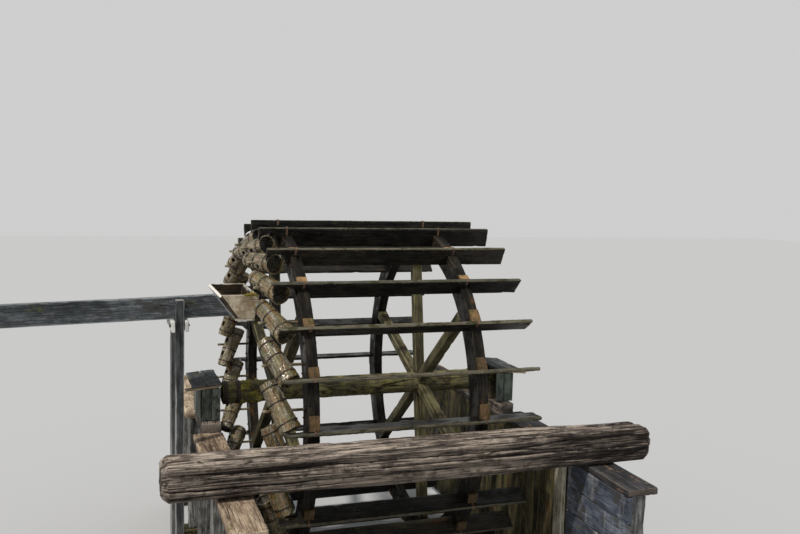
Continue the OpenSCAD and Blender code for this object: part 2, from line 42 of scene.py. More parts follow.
# Sizes that the pieces share, in metres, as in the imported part
wheel = {"radius": 2.100, "axleZ": 2.250, "paddles": 24, "restTurn": 16.0, "pitch": 15.0,
         "ringXs": (-0.942, 0.942), "rimOuter": 2.010, "rimInner": 1.750, "felloe": 0.060}


class Wire:  # one output of a node, with the sums a material needs
    def __init__(self, tree, socket=None):
        self.tree = tree
        self.socket = socket

    def node(self, kind, settings=None, inputs=None, output=0):
        made = self.tree.nodes.new(kind)
        for key, value in (settings or {}).items():
            if key == "stops":
                ramp = made.color_ramp
                while len(ramp.elements) < len(value):
                    ramp.elements.new(0.5)
                for stop, (place, colour) in zip(ramp.elements, value):
                    stop.position = place
                    stop.color = colour
            else:
                setattr(made, key, value)
        for key, value in (inputs or {}).items():
            if isinstance(value, Wire):
                self.tree.links.new(value.socket, made.inputs[key])
            else:
                made.inputs[key].default_value = value
        return Wire(self.tree, made.outputs[output])

    def maths(self, operation, first, second):
        return self.node("ShaderNodeMath", {"operation": operation}, {0: first, 1: second})

    def __add__(self, other):
        return self.maths("ADD", self, other)

    def __radd__(self, other):
        return self.maths("ADD", other, self)

    def __sub__(self, other):
        return self.maths("SUBTRACT", self, other)

    def __rsub__(self, other):
        return self.maths("SUBTRACT", other, self)

    def __mul__(self, other):
        return self.maths("MULTIPLY", self, other)

    def __rmul__(self, other):
        return self.maths("MULTIPLY", other, self)

    def pingpong(self, size):
        return self.maths("PINGPONG", self, size)

    def absolute(self):
        return self.maths("ABSOLUTE", self, 0.0)

    def lowest(self, other):
        return self.maths("MINIMUM", self, other)

    def ramp(self, low, high):  # 0 below low, 1 above high, smooth between
        return self.node("ShaderNodeMapRange", {"interpolation_type": "SMOOTHSTEP"},
                         {0: self, 1: low, 2: high, 3: 0.0, 4: 1.0})

    def swing(self, low, high):  # the same from -0.5 to 0.5
        return self.ramp(low, high) - 0.5

    def tints(self, *stops):
        return self.node("ShaderNodeValToRGB", {"stops": stops}, {0: self})

    def scaled(self, x, y, z):
        return self.node("ShaderNodeVectorMath", {"operation": "MULTIPLY"}, {0: self, 1: (x, y, z)})

    def shifted(self, other):
        return self.node("ShaderNodeVectorMath", {"operation": "ADD"}, {0: self, 1: other})

    def noise(self, scale, detail=4.0, rough=0.55, output=0):
        return self.node("ShaderNodeTexNoise", {},
                         {"Vector": self, "Scale": scale, "Detail": detail, "Roughness": rough}, output)

    def over(self, colour, mask):  # this colour with another laid over it where mask is 1
        return self.node("ShaderNodeMix", {"data_type": "RGBA"}, {0: mask, 6: self, 7: colour}, 2)

    def fact(self, name, output=2):  # what a mesh carries at its points
        return self.node("ShaderNodeAttribute", {"attribute_name": name}, {}, output)

    def place(self):
        return self.node("ShaderNodeTexCoord", {}, {}, "Object")

    def bump(self, strength, distance):
        return self.node("ShaderNodeBump", {}, {"Strength": strength, "Distance": distance, "Height": self})

    def into(self, shader, socket):
        self.tree.links.new(self.socket, shader.inputs[socket])


def linear(colour, times=1.0):  # sRGB 0-255 as a shader's colour, made lighter or darker
    parts = (part / 255.0 for part in colour[:3])
    parts = (part / 12.92 if part <= 0.04045 else ((part + 0.055) / 1.055) ** 2.4 for part in parts)
    return (*(min(1.0, times * part) for part in parts), 1.0)


def newMaterial(name):
    material = bpy.data.materials.new(name)
    material.use_nodes = True
    return material, Wire(material.node_tree), material.node_tree.nodes["Principled BSDF"]


# Colours are sRGB 0-255: shades are dark, middle and light. The fourth number of moss, stain, worn, pale specks
# and runs is the share of the surface that it covers, as is wet, from 0 to 1. The pale specks are lichen, and on
# the staves painted glints of wet shine. Under sets how strongly painted shade darkens sides and undersides.
plainWood = {"wet": 0.0, "fibre": 0.8, "rough": 0.8, "bump": 0.6, "shine": 0.25, "streak": 1.0, "mottle": 0.15}
woodLooks = {
    "paddleWood": {"shades": ((14, 14, 13), (36, 34, 30), (62, 57, 48)), "moss": (74, 74, 40, 0.16),
        "stain": (72, 52, 32, 0.1), "worn": (100, 90, 70, 0.35), "wet": 0.55, "fibre": 0.6, "rough": 0.6,
        "bump": 0.5, "shine": 0.15},
    "ringWood": {"shades": ((13, 11, 9), (31, 29, 26), (53, 48, 39)), "moss": (70, 68, 36, 0.18),
        "stain": (96, 66, 38, 0.12), "worn": (120, 94, 64, 0.28), "wet": 0.45, "fibre": 0.6, "rough": 0.64,
        "bump": 0.5, "shine": 0.12},
    "wedgeWood": {"shades": ((54, 41, 27), (108, 80, 49), (168, 130, 84)), "moss": (90, 84, 44, 0.35),
        "stain": (70, 46, 28, 0.3), "worn": (184, 152, 110, 0.35), "wet": 0.2, "fibre": 0.6, "rough": 0.7,
        "bump": 0.5},
    "spokeWood": {"shades": ((34, 31, 21), (62, 58, 39), (106, 100, 71)), "moss": (106, 100, 54, 0.3),
        "stain": (62, 46, 28, 0.3), "worn": (150, 142, 106, 0.45), "wet": 0.25, "fibre": 0.7, "rough": 0.74},
    "axleWood": {"shades": ((26, 24, 16), (92, 87, 63), (126, 118, 84)), "moss": (121, 116, 64, 0.42),
        "stain": (48, 36, 24, 0.4), "worn": (160, 146, 100, 0.3), "lichenAndGlints": (176, 164, 96, 0.5), "wet": 0.25,
        "fibre": 0.9, "rough": 0.78, "bump": 0.9},
    # The staves' pale specks are painted glints of wet shine.
    "staveWood": {"shades": ((28, 24, 14), (104, 88, 53), (162, 144, 104)), "moss": (99, 96, 42, 0.4),
        "stain": (124, 91, 46, 0.46), "worn": (172, 160, 126, 0.4), "lichenAndGlints": (222, 217, 205, 0.46), "wet": 0.7,
        "rough": 0.44, "bump": 0.8, "shine": 0.85, "streak": 0.9, "mottle": 0.35},
    "wallWood": {"shades": ((20, 18, 12), (58, 54, 38), (104, 95, 68)), "moss": (92, 92, 48, 0.36),
        "stain": (84, 58, 32, 0.3), "worn": (130, 118, 86, 0.35), "wet": 0.35, "fibre": 0.6, "rough": 0.74,
        "shine": 0.15},
    "greyWood": {"shades": ((56, 57, 58), (108, 108, 107), (166, 165, 160)), "moss": (96, 98, 66, 0.22),
        "stain": (72, 66, 58, 0.34), "worn": (188, 185, 176, 0.35), "wet": 0.05, "fibre": 0.9, "rough": 0.82,
        "bump": 0.7},
    "boardWood": {"shades": ((46, 49, 56), (76, 82, 96), (126, 132, 142)), "moss": (82, 86, 62, 0.2),
        "stain": (70, 66, 60, 0.4), "worn": (132, 134, 136, 0.08), "runs": (176, 176, 172, 0.3), "wet": 0.05,
        "rough": 0.82, "bump": 0.7, "streak": 0.7},
    "flumeWood": {"shades": ((42, 45, 48), (74, 78, 81), (120, 123, 126)), "moss": (82, 88, 62, 0.24),
        "stain": (62, 60, 56, 0.36), "worn": (178, 184, 186, 0.62), "wet": 0.1, "rough": 0.78},
    "hopperWood": {"shades": ((122, 108, 88), (196, 183, 159), (214, 198, 168)), "moss": (148, 146, 60, 0.18),
        "stain": (136, 112, 84, 0.36), "worn": (224, 214, 200, 0.55), "runs": (142, 124, 100, 0.46),
        "lichenAndGlints": (222, 206, 180, 0.35), "wet": 0.1, "fibre": 0.7, "rough": 0.76, "bump": 0.5, "streak": 0.3},
    # The hopper's inner boards. Their near-white worn rim is partly bleached wood, partly painted sunlight.
    "soakedWood": {"shades": ((22, 17, 13), (54, 42, 31), (92, 73, 55)), "moss": (96, 94, 46, 0.34),
        "stain": (40, 32, 24, 0.35), "worn": (248, 240, 228, 1.0), "wet": 0.6, "fibre": 0.7, "rough": 0.58,
        "shine": 0.3, "bareRim": True},
    "logWood": {"shades": ((42, 36, 33), (136, 123, 112), (186, 171, 155)), "moss": (100, 94, 62, 0.14),
        "stain": (72, 62, 56, 0.36), "worn": (208, 195, 180, 0.45), "lichenAndGlints": (206, 196, 184, 0.3),
        "fibre": 1.0, "rough": 0.85, "bump": 1.0, "streak": 1.7, "shine": 0.15, "under": 0.55},
    "coverWood": {"shades": ((34, 36, 38), (62, 66, 69), (102, 106, 107)), "moss": (80, 84, 58, 0.28),
        "stain": (50, 46, 40, 0.34), "worn": (138, 138, 130, 0.35), "wet": 0.05, "fibre": 0.7},
    "postWood": {"shades": ((54, 56, 58), (90, 91, 92), (128, 129, 128)), "moss": (104, 106, 78, 0.16),
        "stain": (90, 86, 84, 0.34), "worn": (214, 212, 206, 0.45), "fibre": 1.0, "rough": 0.84, "bump": 0.7,
        "streak": 0.55},
    "beamWood": {"shades": ((112, 112, 110), (186, 186, 182), (226, 226, 221)), "moss": (140, 142, 116, 0.1),
        "stain": (132, 128, 120, 0.26), "worn": (242, 240, 235, 0.6), "fibre": 0.9, "rough": 0.84,
        "streak": 0.6},
    "fringeMoss": {"shades": ((22, 20, 13), (43, 41, 30), (94, 89, 70)), "moss": (58, 56, 30, 0.36),
        "stain": (70, 56, 36, 0.34), "worn": (150, 145, 128, 0.32), "wet": 0.3, "fibre": 0.6, "shine": 0.15},
    "mossTuft": {"shades": ((50, 46, 16), (134, 124, 58), (188, 174, 100)), "moss": (130, 126, 62, 0.5),
        "stain": (150, 112, 56, 0.34), "worn": (170, 160, 90, 0.1), "rough": 0.9, "bump": 1.0, "shine": 0.1},
    "blockWood": {"shades": ((34, 30, 22), (72, 66, 46), (120, 110, 80)), "moss": (104, 104, 50, 0.36),
        "stain": (90, 64, 36, 0.34), "worn": (140, 128, 96, 0.3), "wet": 0.2, "fibre": 0.6, "rough": 0.75},
    "boxWood": {"shades": ((46, 50, 47), (104, 111, 101), (134, 140, 131)), "moss": (80, 88, 60, 0.22),
        "stain": (48, 48, 42, 0.3), "worn": (122, 126, 118, 0.35), "wet": 0.05, "fibre": 0.6, "streak": 0.5},
    "tanCapWood": {"shades": ((92, 76, 62), (172, 150, 126), (216, 196, 170)), "moss": (120, 112, 70, 0.12),
        "stain": (110, 88, 70, 0.3), "worn": (224, 206, 182, 0.5), "fibre": 1.0, "rough": 0.85, "bump": 0.9,
        "streak": 0.9, "under": 0.4},
    # The right cap's wood: a darker copy of the cap wood, as painted shade. Its pale patches are rot.
    "shadedCapWood": {"shades": ((32, 31, 32), (50, 49, 51), (84, 82, 82)), "moss": (96, 92, 60, 0.16),
        "stain": (164, 130, 100, 0.24), "worn": (150, 134, 116, 0.4), "fibre": 1.0, "rough": 0.85, "bump": 0.9,
        "under": 0.4},
    "stripWood": {"shades": ((104, 98, 84), (170, 162, 142), (212, 204, 182)), "moss": (130, 128, 84, 0.12),
        "stain": (120, 106, 84, 0.28), "worn": (232, 226, 208, 0.5), "fibre": 0.9, "rough": 0.84, "bump": 0.7,
        "streak": 0.7},
    "battenWood": {"shades": ((80, 66, 50), (128, 110, 86), (180, 160, 130)), "moss": (140, 130, 80, 0.14),
        "stain": (118, 90, 62, 0.3), "worn": (222, 206, 176, 0.7)},
    "pegWood": {"shades": ((54, 46, 34), (98, 86, 66), (140, 126, 102)), "moss": (100, 98, 56, 0.3),
        "stain": (80, 60, 40, 0.34), "worn": (176, 164, 140, 0.6), "wet": 0.3, "rough": 0.7},
}


def makeWood(name, look):
    look = {**plainWood, **look}
    dark, middle, light = look["shades"]
    material, start, shader = newMaterial(name)
    grain = start.fact("grain", 1)
    if name == "blockWood":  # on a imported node, which carries no grain of its own
        grain = start.node("ShaderNodeMapping", {}, {"Vector": start.place(), "Rotation": (0, 0, math.pi / 2)})
    tone, edge, deep, sky = (start.fact(fact) for fact in ("tone", "edge", "deep", "sky"))
    bent = grain.shifted(grain.noise(1.3, 2.0, 0.5, 1).scaled(0.0, 0.02, 0.02))
    broad = grain.scaled(1.0, 2.2, 2.2).noise(1.7, 3.0, 0.6)
    patch = grain.scaled(1.0, 1.6, 1.6).noise(7.0, 5.0, 0.62)
    fibre = bent.scaled(2.5, 70.0, 70.0).noise(1.0, 5.0, 0.65)
    fine = bent.scaled(12.0, 320.0, 320.0).noise(1.0, 3.0, 0.6)
    line = (bent.scaled(1.0, 26.0, 26.0).noise(1.0, 1.5, 0.5) * 9.0).pingpong(0.5)
    split = bent.scaled(1.1, 24.0, 24.0).noise(1.0, 2.0, 0.45)
    crack = (1.0 - (split - 0.5).absolute().ramp(0.0, 0.016)) * patch.ramp(0.46, 0.56)
    mottle = grain.shifted((3.0, 5.0, 8.0)).noise(46.0, 4.0, 0.7)

    body = (fibre.swing(0.32, 0.68) * 0.42 * look["streak"] + (line - 0.25) * 0.40 * look["streak"]
            + fine.swing(0.3, 0.7) * 0.16 + mottle.swing(0.3, 0.7) * look["mottle"] + (tone - 0.5) * 0.42
            + broad.swing(0.34, 0.66) * 0.30 + patch.swing(0.34, 0.66) * 0.26)
    colour = (body + 0.5).tints((0.12, linear(dark)), (0.50, linear(middle)), (0.88, linear(light)))

    def cover(key):  # how far a share lifts its mask
        return (look[key][3] - 0.5) * 0.4

    stainPatch = grain.shifted((7.0, 3.0, 1.0)).scaled(1.0, 1.7, 1.7).noise(4.6, 5.0, 0.62)
    stained = (stainPatch + (tone - 0.5) * 0.10 + cover("stain")).ramp(0.48, 0.57)
    colour = colour.over(linear(look["stain"]), stained * (0.45 + fibre * 0.6))
    worn = (edge + (fibre - 0.5) * 0.9 + (patch - 0.5) * 0.8).ramp(0.35, 0.95) * look["worn"][3]
    colour = colour.over(linear(look["worn"]), worn)
    mossPatch = grain.shifted((2.0, 9.0, 4.0)).scaled(1.0, 1.4, 1.4).noise(5.2, 7.0, 0.68)
    mossMask = (mossPatch + cover("moss") + sky * 0.035 + deep * 0.02).ramp(0.49, 0.57)
    if "bareRim" in look:  # no moss on a pale rim, bleached and brightened with painted sunlight
        mossMask = mossMask * (1.0 - edge.ramp(0.9, 1.3))
    mossGrain = grain.noise(95.0, 4.0, 0.7)
    moss = look["moss"]
    colour = colour.over(mossGrain.tints((0.32, linear(moss, 0.30)), (0.50, linear(moss)), (0.70, linear(moss, 1.7))),
                         mossMask * 0.80)
    if "lichenAndGlints" in look:  # pale specks gathered in patches: lichen on most woods, and on the staves painted glints of wet shine
        spots = grain.noise(170.0, 3.0, 0.6).ramp(0.50, 0.60)
        gathered = grain.shifted((1.0, 4.0, 2.0)).noise(6.0, 3.0, 0.6) + cover("lichenAndGlints")
        colour = colour.over(linear(look["lichenAndGlints"]), spots * gathered.ramp(0.49, 0.58) * 0.7)
    if "runs" in look:  # marks that rain has drawn down across the grain
        down = grain.shifted((4.0, 1.0, 6.0)).scaled(5.5, 0.7, 1.0).noise(1.6, 5.0, 0.62)
        down = (down + cover("runs") + (fibre - 0.5) * 0.14).ramp(0.45, 0.64)
        colour = colour.over(linear(look["runs"]), down * 0.7)
    if "under" in look:  # painted shade: sides and undersides darker than the tops
        paintedSideShade = (0.80 - sky + (broad - 0.5) * 0.5).ramp(0.0, 0.7)
        colour = colour.over(linear(dark), paintedSideShade * look["under"])
    # Near-black in cracks, and painted shade wherever the points of a piece mark it: grooves, splits, gaps, recessed
    # ends and shaded wedges
    colour = colour.over(linear(dark, 0.22), (crack + deep.ramp(0.22, 1.0) * 0.80).lowest(0.92))
    colour.into(shader, "Base Color")

    wetMask = (broad * 0.4 + stainPatch * 0.6 + (look["wet"] - 0.5) * 0.4).ramp(0.46, 0.54) * (1.0 - mossMask * 0.7)
    rough = look["rough"] + (fibre - 0.5) * 0.4 + mossMask * 0.15 - wetMask * min(0.30, look["wet"] * 0.8)
    rough.node("ShaderNodeClamp", {}, {0: rough, 1: 0.14, 2: 1.0}).into(shader, "Roughness")
    if look["wet"] > 0.2:
        (wetMask * look["shine"] * 0.3).into(shader, "Coat Weight")
        shader.inputs["Coat Roughness"].default_value = 0.22
    shader.inputs["Specular IOR Level"].default_value = look["shine"]
    relief = (fibre * 0.9 * look["fibre"] + line * 0.2 + fine * 0.2 - crack * 0.8 + mossMask * mossGrain * 1.2
              + mottle * look["mottle"])
    relief.bump(look["bump"], 0.006).into(shader, "Normal")
    return material


ironLooks = {
    "rustyIron": {"shades": ((28, 20, 17), (70, 45, 33), (128, 80, 50)), "steel": (66, 62, 60), "rough": 0.7},
    "turnedIron": {"shades": ((30, 26, 24), (66, 52, 44), (118, 80, 56)), "steel": (96, 92, 88), "rough": 0.5},
    "strapIron": {"shades": ((58, 44, 35), (98, 77, 62), (146, 112, 86)), "steel": (110, 100, 92), "rough": 0.7},
    "darkIron": {"shades": ((20, 17, 15), (44, 34, 28), (88, 58, 40)), "steel": (58, 54, 50), "rough": 0.55},
}


def makeIron(name, look):
    dark, middle, light = look["shades"]
    material, start, shader = newMaterial(name)
    grain = start.place() if name == "turnedIron" else start.fact("grain", 1)
    broad, speck = grain.noise(9.0, 4.0, 0.6), grain.noise(160.0, 4.0, 0.7)
    rust = broad * 0.6 + speck * 0.45
    colour = rust.tints((0.25, linear(dark)), (0.5, linear(middle)), (0.8, linear(light)))
    bare = (start.fact("edge") + speck * 0.4).ramp(0.9, 1.3)
    colour.over(linear(look["steel"]), bare * 0.5).into(shader, "Base Color")
    (bare * 0.6).into(shader, "Metallic")
    (look["rough"] + speck * 0.25 - bare * 0.25).into(shader, "Roughness")
    (speck * 0.7 + broad).bump(0.5, 0.002).into(shader, "Normal")
    return material


materials = {name: makeWood(name, look) for name, look in woodLooks.items()}
materials.update({name: makeIron(name, look) for name, look in ironLooks.items()})
print("materials made:", len(materials))


def scramble(x, y, z, seed):
    mixed = (x * 374761393 + y * 668265263 + z * 1440662683 + seed * 974634777) & 0xffffffff
    mixed = ((mixed ^ (mixed >> 13)) * 1274126177) & 0xffffffff
    return ((mixed ^ (mixed >> 16)) & 0xffff) / 65535.0


def lattice(points, seed):  # smooth noise from 0 to 1 at an array of points
    cell = np.floor(points).astype(np.int64)
    part = points - cell
    part = part * part * (3.0 - 2.0 * part)
    total = 0.0
    for corner in np.ndindex(2, 2, 2):
        x, y, z = (part[:, axis] if far else 1 - part[:, axis] for axis, far in enumerate(corner))
        total = total + x * y * z * scramble(*(cell + corner).T, seed)
    return total


def rough(points, stretch, seed, octaves=3):
    scaled = points * np.array(stretch)
    total, weight, size = 0.0, 0.0, 1.0
    for octave in range(octaves):
        total = total + lattice(scaled * 2.0 ** octave, seed + octave) * size
        weight += size
        size *= 0.5
    return total / weight


def lineRough(u, scale, seed, octaves=3, row=0.0):  # the same along one line
    return rough(np.column_stack([u, u * 0 + row, u * 0]), (scale, 1, 1), seed, octaves)


def smooth(value, low, high):
    part = np.clip((value - low) / (high - low), 0.0, 1.0)
    return part * part * (3.0 - 2.0 * part)


def newSeed():
    return int(rng.integers(1, 9999))


def drift():  # a place of its own in the grain for each timber
    return rng.uniform(0, 40, 3)


def chance(low=0.0, high=1.0):
    return float(rng.uniform(low, high))


toneColumn, edgeColumn, paintedShadeColumn = 3, 4, 5  # of a heap's facts, after the grain's three


class Heap:  # gathers the solids of one piece, with what its material reads at each point
    def __init__(self):
        self.points, self.quads, self.ends, self.facts, self.count = [], [], [], [], 0

    def add(self, points, quads, ends, place, grain, tone=0.5, edge=0.0, deep=0.0):
        marks = [np.full(len(points), mark) if np.isscalar(mark) else mark for mark in (tone, edge, deep)]
        turned = np.array(place)
        self.points.append(points @ turned[:3, :3].T + turned[:3, 3])
        self.quads.append(quads + self.count)
        self.ends += [(end + self.count).tolist() for end in ends]
        self.facts.append(np.column_stack([grain, *marks]))
        self.count += len(points)

    def sleeve(self, points, size, *facts, turned=False):  # rings of size points, joined, with two flat ends
        index = np.arange(len(points)).reshape(-1, size)
        after = np.roll(index, -1, axis=1)
        quads, ends = (index[:-1], after[:-1], after[1:], index[1:]), (index[0][::-1], index[-1])
        if turned:
            quads, ends = (index[:-1], index[1:], after[1:], after[:-1]), (index[0], index[-1][::-1])
        self.add(points, np.stack(quads, axis=-1).reshape(-1, 4), ends, *facts)

    def build(self, name, material, body, slotName, *nodes, flat=False):
        mesh = bpy.data.meshes.new(name)
        mesh.from_pydata(np.concatenate(self.points).tolist(), [], np.concatenate(self.quads).tolist() + self.ends)
        mesh.update()
        facts = np.concatenate(self.facts)
        normals = np.empty(self.count * 3, dtype=np.float32)
        mesh.vertex_normals.foreach_get("vector", normals)
        layers = {"grain": facts[:, :3], "tone": facts[:, toneColumn], "edge": facts[:, edgeColumn],
                  "deep": facts[:, paintedShadeColumn], "sky": normals.reshape(-1, 3)[:, 2]}
        for fact, values in layers.items():
            kind, field = ("FLOAT_VECTOR", "vector") if fact == "grain" else ("FLOAT", "value")
            layer = mesh.attributes.new(fact, kind, "POINT")
            layer.data.foreach_set(field, np.ascontiguousarray(values, dtype=np.float32).ravel())
        mesh.materials.append(materials[material])
        piece = bpy.data.objects.new(name, mesh)
        bpy.context.scene.collection.objects.link(piece)
        if not flat:
            mesh.shade_smooth()
            mesh.set_sharp_from_angle(angle=math.radians(50))
        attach(piece, body)
        if nodes:
            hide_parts(*nodes)


def shift(x, y=0.0, z=0.0):
    return Matrix.Translation((x, y, z))


def atTurn(degrees):  # the wheel's frame at a paddle: -Y outwards, +Z ahead
    return hub @ Matrix.Rotation(math.radians(-degrees), 4, "X")


def frameOf(start, along, across):  # a timber's frame: X along it, Y across its wide face
    along = Vector(along).normalized()
    through = along.cross(Vector(across).normalized()).normalized()
    turned = Matrix((along, through.cross(along), through)).transposed().to_4x4()
    return Matrix.Translation(start) @ turned


def polar(radius, turn):
    return (-radius * math.cos(math.radians(turn)), radius * math.sin(math.radians(turn)))


def strip(u, rows):  # points of a strip along u, whose section is rows of two distances
    return np.stack([np.column_stack([u, y + 0 * u, z + 0 * u]) for y, z in rows], axis=1).reshape(-1, 3)


alongX, alongY, up = (1, 0, 0), (0, 1, 0), (0, 0, 1)
hub = shift(0, 0, wheel["axleZ"])
alongAxle = Matrix(((0, 0, 1, 0), (1, 0, 0, 0), (0, 1, 0, 0), (0, 0, 0, 1)))
paddleTurns = [wheel["restTurn"] + index * wheel["pitch"] for index in range(wheel["paddles"])]
sixes = [(letter, paddleTurns[first:first + 6]) for letter, first in zip("abcd", range(0, wheel["paddles"], 6))]


def timberLoop(width, thick, soft, wide, thin):  # one ring round a timber, and which way each of its points faces
    loop = []
    sides = ((-1, -1, 1, -1, wide), (1, -1, 1, 1, thin), (1, 1, -1, 1, wide), (-1, 1, -1, -1, thin))
    for v0, w0, v1, w1, many in sides:
        for part in range(many + 1):
            v, w = v0 + (v1 - v0) * part / many, w0 + (w1 - w0) * part / many
            if w0 == w1:
                loop.append((v * (width / 2 - soft), w * thick / 2, 0.0, w))
            else:
                loop.append((v * width / 2, w * (thick / 2 - soft), v, 0.0))
    return np.array(loop)


def plank(heap, place, length, width, thick, wear, span=None, step=0.04, wide=6, thin=2):
    # A sawn or hewn timber from x = 0 to length, with worn edges, grooves along the grain and ragged ends
    wear = {"ridge": 0.0, "split": 0.0, **wear}
    seed, offset, tone = newSeed(), drift(), chance()
    soft = wear["round"]
    loop = timberLoop(width, thick, soft, wide, thin)
    stations = max(3, int(round(length / step)))
    along = np.linspace(0.0, length, stations + 1)
    along[1:-1] += rng.uniform(-0.25, 0.25, stations - 1) * length / stations
    lead = min(soft, length * 0.2)
    inner = along[(along > 1.5 * lead) & (along < length - 1.5 * lead)]
    along = np.concatenate([[0.0, lead], inner, [length - lead, length]])
    u = np.repeat(along, len(loop))
    v, w, facingV, facingW = (np.tile(column, len(along)) for column in loop.T)
    middle = 0.0
    if span is not None:
        low, high = span(u, w)
        v = low + (v / width + 0.5) * (high - low)
        middle = (low + high) / 2
    nearEnd = np.minimum(u, length - u)
    atEnd = nearEnd < lead * 0.5
    v = middle + (v - middle) * np.where(atEnd, 1.0 - 1.2 * soft / width, 1.0)
    w = w * np.where(atEnd, 1.0 - 1.2 * soft / thick, 1.0)
    grain = np.column_stack([u, v, w]) + offset
    inside = np.minimum(width / 2 - np.abs(v - middle), 0.03) + np.minimum(thick / 2 - np.abs(w), 0.03)
    narrow = min(soft, 0.008)
    edge = np.maximum(1.0 - smooth(inside, narrow * 0.6, narrow * 3.0), 1.0 - smooth(nearEnd, 0.0, 0.012))
    grooves = rough(grain, (0.9, 34.0, 34.0), seed + 11)
    depth = wear["warp"] * rough(grain, (1.6, 5.0, 5.0), seed) + wear["groove"] * smooth(grooves, 0.50, 0.78)
    if wear["ridge"]:
        depth = depth + wear["ridge"] * smooth(rough(grain, (0.30, 10.0, 10.0), seed + 61, 2), 0.34, 0.70)
    opened = 0.0
    if wear["split"]:
        splits = rough(grain, (0.45, 9.0, 9.0), seed + 23, 2)
        opened = 1.0 - smooth(np.abs(splits - 0.5), 0.0, 0.028)
        opened = opened * smooth(rough(grain, (0.8, 2, 2), seed + 31), 0.42, 0.6)
        depth = depth + wear["split"] * opened
    chip = wear["chip"] * smooth(rough(grain, (9.0, 9.0, 9.0), seed + 41), 0.55, 0.85) * edge
    v = v - np.sign(v - middle) * (np.abs(facingV) * depth + chip)
    w = w - np.sign(w) * (np.abs(facingW) * depth + np.minimum(chip, thick * 0.2))
    bite = wear["endBite"] * rough(np.column_stack([v * 0, v, w]) + offset, (1, 40, 40), seed + 51, 2)
    u = u + np.where(u < lead * 1.5, bite, 0.0) - np.where(u > length - lead * 1.5, bite, 0.0)
    # painted shade in the grooves and splits
    deep = smooth(grooves, 0.52, 0.80) * wear["groove"] / 0.006 + 0.9 * opened
    heap.sleeve(np.column_stack([u, v, w]), len(loop), place, grain, tone, edge, np.clip(deep, 0, 1))


def prism(heap, outline, place, low, high, bevel=0.004, tone=None, turnGrain=None, deep=0.0, rim=0.8):
    # A flat piece cut to an outline in its own XY plane, from z = low to high, with broken edges
    offset = drift()
    tone = chance() if tone is None else tone
    outline = np.asarray(outline, dtype=float)
    heading = np.roll(outline, -1, axis=0) - np.roll(outline, 1, axis=0)
    inward = np.column_stack([-heading[:, 1], heading[:, 0]])
    inward /= np.linalg.norm(inward, axis=1)[:, None] + 1e-12
    inset, flat = outline + inward * bevel, outline + inward * bevel * 2.5
    layers = [(flat, low, 0.0), (inset, low, 0.8), (outline, low + bevel, rim), (outline, high - bevel, rim),
              (inset, high, 0.8), (flat, high, 0.0)]
    count = len(outline)
    points = np.concatenate([np.column_stack([shape, np.full(count, z)]) for shape, z, worn in layers])
    edge = np.repeat([worn for shape, z, worn in layers], count)
    grain = points if turnGrain is None else turnGrain(points)
    heap.sleeve(points, count, place, grain + offset, tone, edge, deep)


def circle(sides):
    return np.linspace(0, 2 * math.pi, sides, endpoint=False)


def rod(heap, place, length, radius, sides=16, rings=2, tone=0.5, bulge=None, chamfer=0.003):
    # A round bar along its own X, with broken ends
    along = np.concatenate([[0.0], np.linspace(chamfer, length - chamfer, rings), [length]])
    u, turn = np.repeat(along, sides), np.tile(circle(sides), len(along))
    size = np.where((u == 0) | (u == length), radius - chamfer, radius)
    if bulge is not None:
        size = size + bulge(u, turn)
    points = np.column_stack([u, size * np.cos(turn), size * np.sin(turn)])
    edge = np.where(np.minimum(u, length - u) < chamfer * 2, 1.0, 0.2)
    heap.sleeve(points, sides, place, points + drift(), tone, edge)


def bolt(heap, place, size):  # a washer with a six-sided head on it
    rod(heap, place, size["washerThick"], size["washer"], size["sides"], chamfer=0.001)
    rod(heap, place @ shift(size["washerThick"]), size["height"], size["radius"], 6, chamfer=0.002)


def hoop(heap, place, low, high, innerLow, innerHigh, thick, sides=48, tone=0.5, dent=0.0):
    # A closed iron band round its own Z, with the inner radius at each end
    seed = newSeed()
    cut = min(thick, high - low) * 0.25
    profile = [(low + cut, 0, 0), (low, cut, 1), (low, thick - cut, 1), (low + cut, thick, 1),
               (high - cut, thick, 1), (high, thick - cut, 1), (high, cut, 1), (high - cut, 0, 0)]
    points = []
    for z, out, worn in profile:
        radius = innerLow + (innerHigh - innerLow) * (z - low) / (high - low) + out
        x, y = radius * np.cos(circle(sides)), radius * np.sin(circle(sides))
        points.append(np.column_stack([x, y, np.full(sides, z)]))
    points = np.concatenate(points)
    if dent:
        points[:, :2] *= (1.0 - dent * rough(points, (12, 12, 12), seed, 2))[:, None]
    index = np.arange(len(points)).reshape(-1, sides)
    down = np.roll(index, -1, axis=0)
    quads = np.stack([index, np.roll(index, -1, axis=1), np.roll(down, -1, axis=1), down], axis=-1).reshape(-1, 4)
    edge = np.repeat([worn * 0.6 for z, out, worn in profile], sides)
    heap.add(points, quads, [], place, points + drift(), tone, edge)


paddle = {"startX": -1.272, "length": 2.890, "width": 0.230, "thick": 0.035, "edgeLoss": 0.005, "play": 0.004,
          "wear": {"round": 0.004, "warp": 0.003, "groove": 0.0016, "chip": 0.010, "endBite": 0.010}}
# Along the barrel from its trailing to its leading end, with mouths and bands as shares of its length
barrel = {"leftX": -1.156, "radius": 1.888, "length": 0.560, "lead": 0.090, "trail": 0.120, "skew": 24.5,
          "dip": 26.5, "stave": 0.018, "head": 0.022, "headBoards": 3, "chime": 0.028, "chimeBack": 0.070,
          "mouths": (0.37, 0.71), "mouthReach": 0.0536, "mouthTurn": 254.0, "mouthColumns": 8,
          "staves": 14, "columns": 6, "lumps": 0.0045, "bands": (0.16, 0.57, 0.88), "pin": 0.42}
skew, dip = math.radians(barrel["skew"]), math.radians(barrel["dip"])
barrelLine = np.array([-math.sin(skew) * math.cos(dip), -math.sin(dip), math.cos(skew) * math.cos(dip)])
paddleMiddle = wheel["radius"] - paddle["width"] / 2


